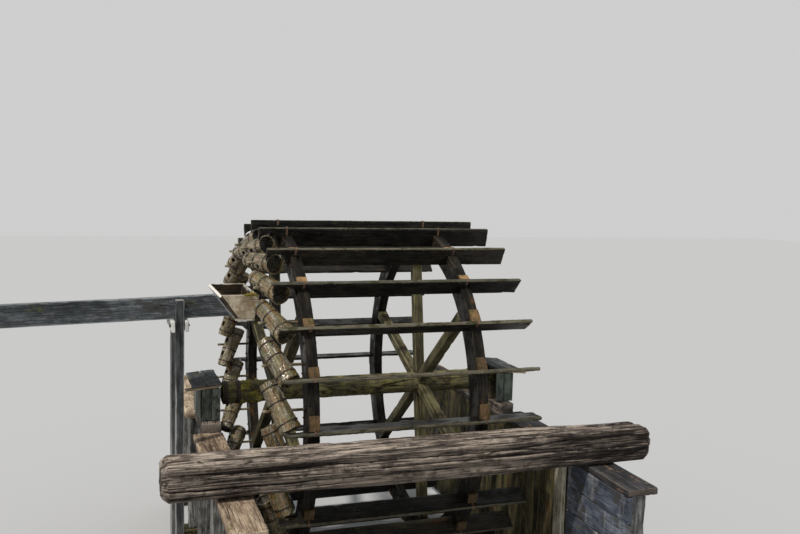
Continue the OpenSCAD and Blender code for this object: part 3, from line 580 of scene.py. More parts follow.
def paddleSpan(x, w):  # lowest and highest v of a paddle at x, notched round its bucket
    lineX, lineOut, lineAhead = barrelLine
    dx = x - (barrel["leftX"] + lineX / lineAhead * -w)
    a, b = 1.0 - lineOut ** 2, -2.0 * dx * lineX * lineOut
    c = dx ** 2 * (1.0 - lineX ** 2) - (barrel["trail"] + paddle["play"]) ** 2
    inside = b * b - 4 * a * c
    root = barrel["radius"] + lineOut / lineAhead * -w + (-b + np.sqrt(np.maximum(inside, 0.0))) / (2 * a)
    foot = -paddle["width"] / 2
    low = np.where(inside > 0, np.maximum(root - paddleMiddle, foot), foot)
    return low, np.full_like(low, paddle["width"] / 2 - paddle["edgeLoss"])


def paddlePlace(turn):
    return atTurn(turn) @ frameOf((paddle["startX"], -paddleMiddle, 0), alongX, (0, -1, 0))


for letter, turns in sixes:
    heap = Heap()
    for turn in turns:
        plank(heap, paddlePlace(turn), paddle["length"], paddle["width"], paddle["thick"], paddle["wear"],
              span=lambda u, w: paddleSpan(u + paddle["startX"], w), step=0.030, wide=8)
    heap.build("paddles." + letter, "paddleWood", "wheel", "wheel_wood", "paddles_" + letter)
print("paddles made")

# Moss and frayed wood along the outer edge of each paddle
fringe = {"step": 0.011, "face": 0.007, "drip": 0.026, "thick": 0.0075, "wettest": 8.0}
heap = Heap()
top, half = paddle["width"] / 2 - paddle["edgeLoss"], paddle["thick"] / 2
u = np.arange(0.012, paddle["length"] - 0.015, fringe["step"])
for turn in paddleTurns:
    lush = 0.45 + 0.55 * max(0.0, math.cos(math.radians(turn - fringe["wettest"])))
    seed = newSeed()
    lump = lineRough(u, 42, seed, 2)
    spike = smooth(lineRough(u, 60, seed + 7, 2), 0.52, 0.92)
    there = smooth(lineRough(u, 3.5, seed + 9, 2), 0.30, 0.50)
    thick = fringe["thick"] * there * (0.2 + lump) * lush
    front = (fringe["face"] * (0.4 + lump) + fringe["drip"] * spike) * lush
    back = fringe["face"] * (0.6 + lump)
    rows = [(top - front, half - 0.003), (top - front, half + thick * 0.25 * (spike + 0.5)),
            (top - front * 0.4, half + thick * 0.8), (top + thick * 0.3, half * 0.95 + thick * 0.3),
            (top + thick * 0.8, half * 0.2), (top + thick * 0.4, -half * 0.9),
            (top - back * 0.4, -half - thick * 0.7), (top - back, -half + 0.003), (top - 0.012, 0.0)]
    points = strip(u, rows)
    heap.sleeve(points, len(rows), paddlePlace(turn), points + drift(), chance(), 0.8, turned=True)
heap.build("paddleEdgeMoss", "fringeMoss", "wheel", "wheel_wood")
print("paddle edges made")

# Iron straps bent over the paddles at both rings, with a nail on each face
strap = {"width": 0.024, "thick": 0.0035, "inner": 2.0115, "outer": 2.1035, "bend": 0.004, "slip": 0.02,
         "nail": 0.006, "nailHigh": 0.005}
heap = Heap()
half = paddle["thick"] / 2 + strap["thick"] / 2 + 0.0002
top, bend = strap["thick"] / 2 - strap["outer"], strap["bend"]
for turn in paddleTurns:
    for ringX in wheel["ringXs"]:
        foot = -strap["inner"] - rng.uniform(0.0, strap["slip"])
        path = np.array([(foot, -half), (top + bend, -half), (top, -half + bend), (top, half - bend),
                         (top + bend, half), (foot, half)])
        heading = np.gradient(path, axis=0)
        side = np.column_stack([heading[:, 1], -heading[:, 0]])
        side /= np.linalg.norm(side, axis=1)[:, None]
        points = []
        for point, across in zip(path, side):
            sway = rng.uniform(-0.002, 0.002)
            for x, face in ((-1, -1), (1, -1), (1, 1), (-1, 1)):
                y, z = point + across * face * strap["thick"] / 2
                points.append((ringX + x * strap["width"] / 2 + sway, y, z))
        points = np.array(points)
        heap.sleeve(points, 4, atTurn(turn), points + drift(), chance(), 0.4)
        for face in (-1, 1):
            x, y = ringX + rng.uniform(-0.004, 0.004), -strap["inner"] - 0.03 - rng.uniform(0, 0.02)
            rod(heap, atTurn(turn) @ frameOf((x, y, face * half), (0, 0, face), alongX), strap["nailHigh"],
                strap["nail"], 8, chamfer=0.0015)
heap.build("paddleStraps", "strapIron", "wheel", "iron", "paddle_straps", flat=True)
print("straps made")


def barrelPlace(turn):
    tilt = Matrix.Rotation(-skew, 4, "Y") @ Matrix.Rotation(-dip, 4, "X")
    return atTurn(turn) @ shift(barrel["leftX"], -barrel["radius"], 0) @ tilt


def barrelRadius(z):
    return barrel["trail"] + (barrel["lead"] - barrel["trail"]) * z / barrel["length"]


def barrelRows():  # heights of the points, closer at the ends, with a row at both edges of each mouth
    length = barrel["length"]
    edges = [at + side * barrel["mouthReach"] for at in barrel["mouths"] for side in (-1, 1)]
    edges = [0.012, *edges, 0.988]
    marks = [0.0, 0.004]
    for start, end in zip(edges, edges[1:]):
        many = max(2, int(round((end - start) * length / 0.010)))
        marks += [length * (start + (end - start) * step / many) for step in range(many)]
    marks += [length * edges[-1], length - 0.004, length]
    return np.array(sorted(set(round(mark, 5) for mark in marks)))


def staveWall(heap, place):  # outer face first, then the lining, then what joins the two
    seed = newSeed()
    staves, total, length = barrel["staves"], barrel["staves"] * barrel["columns"], barrel["length"]
    heights = barrelRows()
    rows = len(heights)
    column = np.arange(total)
    stave = column // barrel["columns"]
    staveRow = np.tile(stave, rows)
    joint = np.tile(np.where(column % barrel["columns"] == 0, 1.0, 0.0), rows)
    start = barrel["mouthTurn"] - barrel["mouthColumns"] / 2 * 360.0 / total
    z, turn = np.repeat(heights, total), np.tile(np.radians(start + column * 360.0 / total), rows)
    push, trailCut, leadCut, tone = (np.tile(rng.uniform(0.0, most, staves)[stave], rows)
                                     for most in (0.0022, 0.008, 0.007, 1.0))
    radius = barrelRadius(z)
    nearEnd = np.minimum(z, length - z)
    grain = np.column_stack([z, radius * turn, staveRow * 0.37])
    weather = rough(grain, (4.0, 14.0, 3.0), seed)
    groove = rough(grain, (2.0, 60.0, 3.0), seed + 5)
    lumps = rough(np.column_stack([z, radius * np.cos(turn), radius * np.sin(turn)]), (26, 26, 26), seed + 13)
    gap = smooth(lineRough(z, 5, seed + 9, 2, staveRow * 3.1), 0.25, 0.75)
    outer = (radius - push - 0.0020 * weather - 0.0016 * smooth(groove, 0.5, 0.8) - joint * (0.0008 + 0.0032 * gap)
             - barrel["lumps"] * (1.0 - smooth(lumps, 0.35, 0.65)) - 0.003 * (1.0 - smooth(nearEnd, 0.0, 0.006)))
    inner = radius - barrel["stave"] + 0.001 * weather
    reach = length * 0.05  # how far each stave's own end is felt
    height = z + (np.where(z < reach, (1 - z / reach) * trailCut, 0.0)
                  - np.where(z > length * 0.95, (z / length - 0.95) / 0.05 * leadCut, 0.0))
    walls = [np.column_stack([size * np.sin(turn), -size * np.cos(turn), height]) for size in (outer, inner)]

    opened = np.zeros((rows - 1, total), dtype=bool)
    for at in barrel["mouths"]:
        low, high = length * (at - barrel["mouthReach"]), length * (at + barrel["mouthReach"])
        opened[(heights[:-1] > low - 0.002) & (heights[1:] < high + 0.002), :barrel["mouthColumns"]] = True
    number = rows * total
    index = np.arange(number).reshape(rows, total)
    after = np.roll(index, -1, axis=1)
    wall = np.stack([index[:-1], after[:-1], after[1:], index[1:]], axis=-1)[~opened]
    sides = []
    for row, column in np.ndindex(rows - 1, total):  # thickness of the wall round each mouth
        here, beside = opened[row, column], (column + 1) % total
        if here != opened[row, beside]:
            pair = (index[row, beside], index[row + 1, beside])
            sides.append(pair if here else pair[::-1])
        if row + 2 < rows and here != opened[row + 1, column]:
            pair = (index[row + 1, column], after[row + 1, column])
            sides.append(pair[::-1] if here else pair)
    sides = [(first, last, last + number, first + number) for first, last in sides]
    rimLow = np.stack([index[0] + number, after[0] + number, after[0], index[0]], axis=-1)
    rimHigh = np.stack([index[-1], after[-1], after[-1] + number, index[-1] + number], axis=-1)
    quads = np.concatenate([wall, wall[:, ::-1] + number, np.array(sides), rimLow, rimHigh])
    grain = np.tile(np.column_stack([height, radius * turn, staveRow * 0.37]), (2, 1)) + drift()
    # painted shade in the gaps between staves and in the grooves, and over the whole lining
    deep = np.clip(joint * gap * 0.9 + smooth(groove, 0.52, 0.8) * 0.22, 0, 1)
    heap.add(np.concatenate(walls), quads, [], place, grain, np.tile(tone, 2),
             np.tile(1.0 - smooth(nearEnd, 0.0, 0.010), 2), np.concatenate([deep, np.full(number, 0.55)]))


def barrelHead(heap, place, z):
    radius = barrelRadius(z + barrel["head"]) - barrel["stave"] - 0.0006
    tilt = place @ shift(0, 0, z) @ Matrix.Rotation(rng.uniform(0, math.pi), 4, "Z")
    edges = [-radius + 2 * radius * board / barrel["headBoards"] for board in range(barrel["headBoards"] + 1)]
    for low, high in zip(edges, edges[1:]):
        right = [(math.sqrt(max(radius ** 2 - y * y, 1e-8)), y) for y in np.linspace(low + 0.0008, high - 0.0008, 9)]
        left = [(-x, y) for x, y in reversed(right)]
        # both heads are covered in painted shade
        prism(heap, right + left, tilt, 0.0, barrel["head"], 0.0012, chance(0, 0.3), deep=1.0)


for letter, turns in sixes:
    heap = Heap()
    for turn in turns:
        staveWall(heap, barrelPlace(turn))
        barrelHead(heap, barrelPlace(turn), barrel["chimeBack"])
        barrelHead(heap, barrelPlace(turn), barrel["length"] - barrel["chime"] - barrel["head"])
    heap.build("buckets." + letter, "staveWood", "wheel", "bucket_wood", "buckets_" + letter)
print("buckets made")

band = {"width": 0.015, "thick": 0.0026, "sunk": 0.0006, "dent": 0.010}
heap = Heap()
for turn in paddleTurns:
    for at in barrel["bands"]:
        low = at * barrel["length"] - band["width"] / 2 + rng.uniform(-0.002, 0.002)
        high = low + band["width"]
        hoop(heap, barrelPlace(turn), low, high, barrelRadius(low) - band["sunk"], barrelRadius(high) - band["sunk"],
             band["thick"], 56, chance(), band["dent"])
heap.build("bucketHoops", "darkIron", "wheel", "iron", "bucket_hoops")

peg = {"radius": 0.0165, "endX": -1.4370, "length": 0.469, "shorter": 0.012}
heap = Heap()
along = barrel["pin"] * barrel["length"]
pegY, pegZ = -barrel["radius"] + math.sin(dip) * along, math.cos(dip) * math.cos(skew) * along
for turn in paddleTurns:
    place = atTurn(turn) @ shift(peg["endX"], pegY, pegZ) @ Matrix.Rotation(rng.uniform(0, 6), 4, "X")
    seed, cut = newSeed(), rng.uniform(0.0, peg["shorter"])

    def whittled(u, turn):
        return -0.002 * rough(np.column_stack([u, np.cos(turn), np.sin(turn)]), (8, 1.3, 1.3), seed, 2)

    rod(heap, place @ shift(cut), peg["length"] - cut, peg["radius"], 12, 8, chance(0.3, 1), whittled, 0.004)
heap.build("bucketPins", "pegWood", "wheel", "grey_wood", "bucket_pins")
print("hoops and pins made")

felloes = {"many": 6, "arcStep": 1.25, "notchHalf": 0.0180, "notchFloor": 1.8695, "joint": 0.0012, "loss": 0.0035}
notchRange = range(-wheel["paddles"], 2 * wheel["paddles"] + 1)
notchTurns = [wheel["restTurn"] + index * wheel["pitch"] for index in notchRange]


def ringGrain(points):  # the grain follows the ring
    y, z, x = points.T
    return np.column_stack([np.arctan2(z, y) * 1.88, np.hypot(y, z), x])


def felloe(heap, start, end, x0, x1):
    seed = newSeed()
    gap = math.degrees(felloes["joint"] / wheel["rimOuter"])
    start, end = start + gap, end - gap
    arc = np.linspace(start, end, int((end - start) / felloes["arcStep"]) + 1)
    inside = wheel["rimInner"] + felloes["loss"] * lineRough(arc * 0.2, 3, seed)
    outside = wheel["rimOuter"] - felloes["loss"] * 1.6 * lineRough(arc * 0.2, 3, seed + 3, row=5)
    notches = [turn for turn in notchTurns if start < turn < end]
    side, floor, rim = felloes["notchHalf"], felloes["notchFloor"], wheel["rimOuter"] - 0.003
    clear = math.degrees(side / wheel["rimOuter"]) + 0.35
    outer = [(turn, polar(radius, turn)) for turn, radius in zip(arc, outside)
             if all(abs(turn - notch) > clear for notch in notches)]
    for notch in notches:
        c, s = math.cos(math.radians(notch)), math.sin(math.radians(notch))
        for order, radius, across in ((0.3, rim, side), (0.1, floor, side), (-0.1, floor, -side), (-0.3, rim, -side)):
            outer.append((notch + order, (-radius * c + across * s, radius * s + across * c)))
    outer.sort(key=lambda item: -item[0])
    outline = [polar(radius, turn) for turn, radius in zip(arc, inside)] + [point for turn, point in outer]
    prism(heap, outline, hub @ alongAxle, x0, x1, 0.005, rim=0.30, turnGrain=ringGrain)


leftX, rightX = wheel["ringXs"]
for side, layer, x0, first in (("left", "outer", leftX - 0.0601, 68.5), ("left", "inner", leftX, 53.5),
                               ("right", "inner", rightX - 0.0601, 53.5), ("right", "outer", rightX, 68.5)):
    heap = Heap()
    for index in range(felloes["many"]):
        start = first + 60 * index
        felloe(heap, start, start + 60, x0 + 0.0002, x0 + wheel["felloe"] - 0.0002)
    heap.build("ring" + side.title() + layer.title(), "ringWood", "wheel", "wheel_wood", f"ring_{side}_{layer}",
               flat=True)

# Small wedges on the rims, ahead of each paddle. Those low on the rising side carry painted shade; the rest are
# painted lighter, as if in sunlight.
wedge = {"width": 0.112, "gap": 0.0225, "long": 0.150, "high": 0.050, "toe": 0.016, "sunlitFrom": 24.0, "sunlitAt": 44.0}
heap = Heap()
rim, gap = wheel["rimOuter"] - 0.004, wedge["gap"]
for turn in paddleTurns:
    sunlit = float(smooth((turn + 90) % 360 - 90, wedge["sunlitFrom"], wedge["sunlitAt"]))
    for ringX in wheel["ringXs"]:
        long, high = wedge["long"] * rng.uniform(0.75, 1.1), wedge["high"] * rng.uniform(0.8, 1.1)
        outline = [(-rim, gap), (-rim, gap + long), (-rim - wedge["toe"], gap + long),
                   (-rim - high * 0.8, gap + long * 0.45), (-rim - high, gap)]
        x = rng.uniform(-0.008, 0.008) + ringX
        prism(heap, outline, atTurn(turn) @ alongAxle, x - wedge["width"] / 2, x + wedge["width"] / 2, 0.003,
              0.2 + 0.6 * sunlit, lambda points: points[:, [1, 0, 2]], 0.72 * (1.0 - sunlit))
heap.build("paddleWedges", "wedgeWood", "wheel", "wheel_wood", flat=True)

# Bolts through the felloes, ahead of each paddle and behind it
ringBolt = {"washer": 0.021, "washerThick": 0.004, "sides": 14, "radius": 0.011, "height": 0.012,
            "ahead": (3.2, 1.800), "behind": (-3.2, 1.945)}
heap = Heap()
for ringX in wheel["ringXs"]:
    for outward in (-1, 1):
        for turn in paddleTurns:
            for aside, radius in (ringBolt["ahead"], ringBolt["behind"]):
                y, z = polar(radius, turn + aside + rng.uniform(-0.3, 0.3))
                bolt(heap, hub @ frameOf((ringX + outward * 0.0597, y, z), (outward, 0, 0), alongY), ringBolt)
heap.build("ringBolts", "rustyIron", "wheel", "iron", flat=True)
print("rings made")

spoke = {"many": 6, "firstTurn": 38.5, "inner": 0.1205, "outer": 1.7480, "wide": 0.130, "thick": 0.120,
         "wear": {"round": 0.009, "warp": 0.006, "groove": 0.004, "chip": 0.010, "endBite": 0.001, "split": 0.006}}
for side, ringX in zip(("left", "right"), wheel["ringXs"]):
    heap = Heap()
    for index in range(spoke["many"]):
        turned = atTurn(spoke["firstTurn"] + 60 * index)
        plank(heap, turned @ frameOf((ringX, -spoke["inner"], 0), (0, -1, 0), alongX), spoke["outer"] - spoke["inner"],
              spoke["wide"], spoke["thick"], spoke["wear"], step=0.035, thin=6)
    heap.build("spokes" + side.title(), "spokeWood", "wheel", "moss_wood", "spokes_" + side)

# A log with six flats at each ring, where the spokes stand
axle = {"startX": -1.610, "endX": 1.850, "radius": 0.1335, "most": 0.1348, "flat": 0.1195, "flatHalf": 0.0655,
        "rings": 260, "sides": 96, "bark": 0.010, "split": 0.012, "lump": 0.006, "grainRadius": 0.13, "seed": 5}


def roundLog(u, sides):  # place along the axle and turn of every point, and its grain
    u, turn = np.repeat(u, sides), np.tile(circle(sides), len(u))
    return u, turn, np.column_stack([u, axle["grainRadius"] * np.cos(turn), axle["grainRadius"] * np.sin(turn)])


u = np.linspace(axle["startX"], axle["endX"], axle["rings"])
for ringX in wheel["ringXs"]:
    for edgeX in (ringX - axle["flatHalf"], ringX + axle["flatHalf"]):
        u[np.argsort(np.abs(u - edgeX))[:2]] = (edgeX - 0.0008, edgeX + 0.0008)
u = np.sort(np.concatenate([u, [axle["startX"] + 0.006, axle["endX"] - 0.006]]))
u, turn, grain = roundLog(u, axle["sides"])
seed = axle["seed"]
groove = rough(grain, (1.6, 40, 40), seed + 3)
opened = 1.0 - smooth(np.abs(rough(grain, (0.6, 10, 10), seed + 9, 2) - 0.5), 0.0, 0.022)
bark = 0.5 * rough(grain, (1.3, 7, 7), seed, 2) + 0.5 * smooth(groove, 0.42, 0.8)
size = (axle["radius"] - axle["bark"] * bark - axle["split"] * opened
        + axle["lump"] * smooth(rough(grain, (16, 16, 16), seed + 6), 0.55, 0.8))
size = np.minimum(size, axle["most"])
turned = (turn - math.radians(spoke["firstTurn"]) + math.pi / 6) % (math.pi / 3) - math.pi / 6
atRing = np.minimum(*(np.abs(u - ringX) for ringX in wheel["ringXs"])) < axle["flatHalf"]
size = np.where(atRing, np.minimum(axle["flat"] / np.cos(turned), size), size)
nearEnd = np.minimum(u - axle["startX"], axle["endX"] - u)
size = size - 0.006 * (1.0 - smooth(nearEnd, 0.0, 0.006))
# painted shade in the splits and grooves, and on the log's end faces
deep = np.clip(opened * 0.9 + smooth(groove, 0.5, 0.8) * 0.5, 0, 1)
deep = np.maximum(deep, np.where(nearEnd < 0.001, 0.8, 0.0))
edge = np.where(nearEnd < 0.001, 0.0, 1.0 - smooth(nearEnd, 0.0, 0.02))
heap = Heap()
heap.sleeve(np.column_stack([u, -size * np.cos(turn), size * np.sin(turn)]), axle["sides"], hub, grain, 0.5, edge,
            deep, turned=True)
heap.build("axleLog", "axleWood", "wheel", "moss_wood", "axle")

# Clumps of moss: a shell that stands proud where the noise is high and sinks into the wood elsewhere
tuft = {"from": -1.440, "to": -1.100, "proud": 0.016, "sunk": 0.012, "sides": 120, "step": 0.006}
u, turn, grain = roundLog(np.arange(tuft["from"], tuft["to"], tuft["step"]), tuft["sides"])
clump = smooth(rough(grain, (13, 13, 13), 71), 0.42, 0.66) * smooth(u, tuft["from"], tuft["from"] + 0.05)
clump = clump * (1.0 - smooth(u, tuft["to"] - 0.06, tuft["to"] - 0.006))
proud = tuft["proud"] * (0.3 + rough(grain, (90, 90, 90), 73, 2))
size = axle["radius"] - tuft["sunk"] + clump * (tuft["sunk"] + proud)
heap = Heap()
# painted shade where the shell sinks between the clumps
heap.sleeve(np.column_stack([u, -size * np.cos(turn), size * np.sin(turn)]), tuft["sides"], hub, grain, 0.5, 0.0,
            0.7 * (1.0 - clump), turned=True)
heap.build("axleMoss", "mossTuft", "wheel", "moss_wood")

axleBand = {"xs": (-1.598, -1.448, 1.788, 1.638), "width": 0.050, "inner": 0.1351, "thick": 0.0075}
heap = Heap()
for x in axleBand["xs"]:
    hoop(heap, hub @ shift(x) @ Matrix.Rotation(math.pi / 2, 4, "Y"), 0.0, axleBand["width"], axleBand["inner"],
         axleBand["inner"], axleBand["thick"], 72)
heap.build("axleHoops", "darkIron", "wheel", "iron", "axle_hoops")
print("spokes and axle made")

channel = {"leftX": -1.665, "rightX": 1.895, "front": -3.400, "back": 2.500, "capTop": 1.900, "cap": 0.080,
           "capGap": 0.4503, "sillTop": 0.100, "sillYs": (-3.280, -2.500, -1.250, 0.0, 1.250, 2.380), "high": 1.720}
wallWear = {"round": 0.005, "warp": 0.005, "groove": 0.003, "chip": 0.010, "endBite": 0.012}
battenWear = {"round": 0.003, "warp": 0.002, "groove": 0.001, "chip": 0.006, "endBite": 0.008}
beamWear = {"round": 0.010, "warp": 0.004, "groove": 0.003, "chip": 0.010, "endBite": 0.008, "split": 0.006}
capWear = {"round": 0.012, "warp": 0.006, "groove": 0.005, "chip": 0.016, "endBite": 0.020, "split": 0.012}


def timbers(name, material, slotName, node, wear, cuts, **detail):
    # A piece of the frame made of planks, each given as its place, length, width and thickness
    heap = Heap()
    for cut in cuts:
        plank(heap, *cut, wear, **detail)
    heap.build(name, material, "frame", slotName, node)


timbers("bedSills", "wallWood", "wall_wood", "bed_sills", beamWear,
        ((frameOf((-2.010, y, 0.050), alongX, alongY), 4.250, 0.240, channel["sillTop"]) for y in channel["sillYs"]),
        step=0.08, wide=4)
for side, x in (("left", -1.800), ("right", 2.030)):
    timbers("wallPosts." + side, "greyWood", "grey_wood", "wall_posts_" + side, beamWear,
            ((frameOf((x, y, channel["sillTop"]), up, alongX), channel["high"], 0.170, 0.170)
             for y in channel["sillYs"]), step=0.05, wide=5, thin=5)

palisade = {"pitch": 0.145, "width": 0.141, "thick": 0.050, "drop": 0.010, "narrower": 0.006}
for side, x, startY, many in (("left", -1.690, -3.2775, 40), ("right", 1.920, -2.0975, 32)):
    timbers("wallPlanks." + side, "wallWood", "wall_wood", "wall_planks_" + side, wallWear,
            ((frameOf((x, startY + index * palisade["pitch"], channel["sillTop"]), up, alongY),
              channel["high"] - chance(0, palisade["drop"]), palisade["width"] - chance(0, palisade["narrower"]),
              palisade["thick"]) for index in range(many)), step=0.07, wide=4)

# Level boards at the front of the right wall, and the upright strip that ends them
boards = {"x": 1.920, "endY": -2.213, "top": 1.822, "pitch": 0.283, "height": 0.279, "thick": 0.050, "many": 6}
boardZs = [boards["top"] - (index + 0.5) * boards["pitch"] for index in range(boards["many"])]
timbers("wallBoards.right", "boardWood", "grey_wood", "wall_boards_right", wallWear,
        ((frameOf((boards["x"], channel["front"], z), alongY, up), boards["endY"] - channel["front"],
          boards["height"], boards["thick"]) for z in boardZs), wide=10)
timbers("wallStrip.right", "stripWood", "grey_wood", "wall_strip_right", wallWear,
        [(frameOf((1.870, -2.110, channel["sillTop"]), up, alongY), channel["high"], 0.180, 0.050)], step=0.05)

capRuns = ((channel["front"], -channel["capGap"]), (channel["capGap"], channel["back"]))
# the right cap takes the darker copy, painted shade
for side, x, material in (("left", -1.8275, "tanCapWood"), ("right", 2.0575, "shadedCapWood")):
    timbers("wallCaps." + side, material, "grey_wood", "wall_caps_" + side, capWear,
            ((frameOf((x, start, channel["capTop"] - channel["cap"] / 2), alongY, alongX), end - start, 0.345,
              channel["cap"]) for start, end in capRuns), step=0.035, wide=14, thin=3)
print("channel made")

# Each split of the log: its face, its column across that face, start and end along X, depth
log = {"startX": -2.502, "length": 5.144, "y": -2.500, "height": 0.385, "depth": 0.430, "wide": 40, "thin": 34,
       "sway": 0.030, "pinch": 0.0035, "splitTaper": 0.35,
       "splits": (("top", 18, -2.6, 2.7, 0.040), ("top", 9, -1.3, 1.9, 0.022), ("top", 27, -2.4, -0.4, 0.020),
                  ("top", 30, 0.1, 2.6, 0.026), ("front", 8, -2.2, 1.2, 0.030), ("front", 16, -0.6, 2.6, 0.036),
                  ("front", 25, -2.4, 0.6, 0.024), ("front", 22, 0.9, 2.6, 0.020)),
       "wear": {"round": 0.060, "warp": 0.016, "groove": 0.016, "ridge": 0.022, "chip": 0.020, "endBite": 0.030,
                "split": 0.020}}
logColumns = 2 * (log["wide"] + 1) + 2 * (log["thin"] + 1)
topStart = log["wide"] + log["thin"] + 2
logFaces = {"top": (topStart, (0, 0, -1), alongY), "front": (topStart + log["wide"] + 1, alongY, up)}
heap = Heap()
plank(heap, frameOf((log["startX"], log["y"], channel["capTop"] + log["height"] / 2), alongX, alongY),
      log["length"], log["depth"], log["height"], log["wear"], step=0.022, wide=log["wide"], thin=log["thin"])
# painted shade: the log's tone drops from x = 0.6 to 2.3, darker towards its right end
heap.facts[0][:, toneColumn] = 0.62 - 0.80 * smooth(heap.points[0][:, 0], 0.6, 2.3)
grid, facts = heap.points[0].reshape(-1, logColumns, 3), heap.facts[0].reshape(-1, logColumns, 6)
for face, column, start, end, depth in log["splits"]:
    seed = newSeed()
    first, inward, across = logFaces[face]
    column += first
    x = grid[:, column, 0].copy()
    there = smooth(x, start, start + log["splitTaper"]) * (1.0 - smooth(x, end - log["splitTaper"], end))
    there = there * smooth(lineRough(x, 4, seed), 0.12, 0.42)
    sway = log["sway"] * (lineRough(x, 2.2, seed + 5) - 0.5)
    for aside, share, pinch in ((-2, 0.06, 0), (-1, 0.25, 1), (0, 1.0, 0), (1, 0.25, 1), (2, 0.06, 0)):
        here, deep = grid[:, column + aside], facts[:, column + aside, paintedShadeColumn]
        toward = np.sign(grid[:, column] - here) * np.abs(across)
        here += np.outer(there * depth * share, inward) + np.outer(sway * (1.0 - abs(aside) / 3.0), across)
        here += toward * pinch * there[:, None] * log["pinch"]
        # painted shade in the splits
        deep[:] = np.maximum(deep, there * (1.0, 0.55, 0.1)[abs(aside)])
heap.build("frontLog", "logWood", "frame", "tan_wood", "front_log")
print("log made")

bearing = {"soleTop": 2.000, "soleHigh": 0.180, "coverZ": 2.450, "fall": 5.0, "coverLength": 0.745,
           "coverWidth": 0.345, "coverThick": 0.036, "coverUnder": 0.0185, "overhang": 0.005, "boxHalf": 0.3425,
           "board": 0.028, "backBoards": 5, "batten": 0.0246, "battenWide": 0.095, "battenLong": 0.425,
           "battenYs": (-0.325, 0.325)}
tilt = math.radians(bearing["fall"])


def boxCuts(wallX, out):  # boards of one bearing box: two on each side and five at its back
    def cut(x, y, underX, across, width):  # each reaches up to the battens under the sloping cover
        under = bearing["coverZ"] - abs(underX - (wallX - out * bearing["overhang"])) * math.tan(tilt)
        high = under - bearing["coverUnder"] - bearing["batten"] - bearing["soleTop"] - 0.001
        return frameOf((x, y, bearing["soleTop"]), up, across), high, width, bearing["board"]

    sideY = bearing["boxHalf"] - bearing["board"] / 2
    for y in (-sideY, sideY):
        for x in (wallX + out * 0.055, wallX + out * 0.165):
            yield cut(x, y, x + out * 0.055, alongX, 0.108)
    width = 2 * bearing["boxHalf"] / bearing["backBoards"]
    backX = wallX + out * 0.234
    for index in range(bearing["backBoards"]):
        y = -bearing["boxHalf"] + width * (index + 0.5)
        yield cut(backX, y, backX + out * bearing["board"] / 2, alongY, width - 0.003)


battens = Heap()
for side, wallX, out in (("left", channel["leftX"], -1), ("right", channel["rightX"], 1)):
    timbers("bearingSole." + side, "logWood", "wall_wood", "bearing_sole_" + side, capWear,
            [(frameOf((wallX + out * 0.110, -0.450, bearing["soleTop"] - bearing["soleHigh"] / 2), alongY, alongX),
              0.900, 0.220, bearing["soleHigh"])], step=0.03, wide=7, thin=6)
    timbers("bearingBox." + side, "boxWood", "grey_wood", "bearing_box_" + side, wallWear, boxCuts(wallX, out), wide=4)
    edgeX = wallX - out * bearing["overhang"]
    slope = (math.cos(tilt) * out, 0, -math.sin(tilt))
    width = bearing["coverWidth"] / 2
    timbers("bearingCover." + side, "coverWood", "grey_wood", "bearing_cover_" + side, wallWear,
            ((frameOf((edgeX + out * far * math.cos(tilt), -bearing["coverLength"] / 2,
                       bearing["coverZ"] - far * math.sin(tilt)), alongY, slope),
              bearing["coverLength"], width - 0.002, bearing["coverThick"]) for far in (width * 0.5, width * 1.5)),
            step=0.03)
    below = bearing["coverThick"] / 2 + bearing["batten"] / 2
    for y in bearing["battenYs"]:
        start = (edgeX - out * math.sin(tilt) * below, y, bearing["coverZ"] - math.cos(tilt) * below)
        plank(battens, frameOf(start, slope, alongY), bearing["battenLong"], bearing["battenWide"],
              bearing["batten"] - 0.001, battenWear, step=0.03, wide=5)
battens.build("coverBattens", "battenWood", "frame", "grey_wood", "cover_battens")
print("bearings made")

hopper = {"rimZ": 3.549, "floorZ": 3.281, "frontY": -0.800, "backY": 0.250, "rimLeft": -1.767, "rimRight": -1.302,
          "floorLeft": -1.569, "floorRight": -1.356, "board": 0.026, "stout": 0.046, "outlet": (0.026, 0.376),
          "outletLow": 0.062, "outletHigh": 0.212, "raggedness": 0.003}
hopperHigh = hopper["rimZ"] - hopper["floorZ"]
hopperLong = hopper["backY"] - hopper["frontY"]
lying = Matrix(((1, 0, 0, 0), (0, 0, -1, 0), (0, 1, 0, 0), (0, 0, 0, 1)))  # local XY stands up in X and Z
boardWear = {"round": 0.003, "warp": 0.002, "groove": 0.0012, "chip": 0.006, "endBite": 0.003}


def hopperEnd(name, y, material):
    inset = hopper["stout"] + 0.0004
    corners = [(hopper["floorLeft"] + inset, hopper["floorZ"]), (hopper["floorRight"], hopper["floorZ"]),
               (hopper["rimRight"], hopper["rimZ"]), (hopper["rimLeft"] + inset, hopper["rimZ"])]
    outline = []
    for (x0, z0), (x1, z1) in zip(corners, corners[1:] + corners[:1]):
        many = max(2, int(math.hypot(x1 - x0, z1 - z0) / 0.03))
        outline += [(x0 + (x1 - x0) * part, z0 + (z1 - z0) * part) for part in np.arange(many) / many]
    outline = np.array(outline)
    inward = outline.mean(axis=0) - outline
    pull = hopper["raggedness"] * rough(np.column_stack([outline, outline[:, 0] * 0]), (25, 25, 1), newSeed(), 2)
    outline = outline + inward / np.linalg.norm(inward, axis=1)[:, None] * pull[:, None]
    heap = Heap()
    prism(heap, outline, shift(0, y + hopper["board"], 0) @ lying, 0.0, hopper["board"], 0.003, 0.6)
    across = (heap.points[0][:, 0] - hopper["rimLeft"]) / (hopper["rimRight"] - hopper["rimLeft"])
    # painted light and shade: lighter over a band left of the middle, as in sunlight, and much darker towards the
    # right
    heap.facts[0][:, toneColumn] = 0.62 + 0.38 * smooth(across, 0.30, 0.52) - 0.85 * smooth(across, 0.64, 0.76)
    heap.build("hopper." + name, material, "frame", "tan_wood", "hopper_" + name + "_board", flat=True)


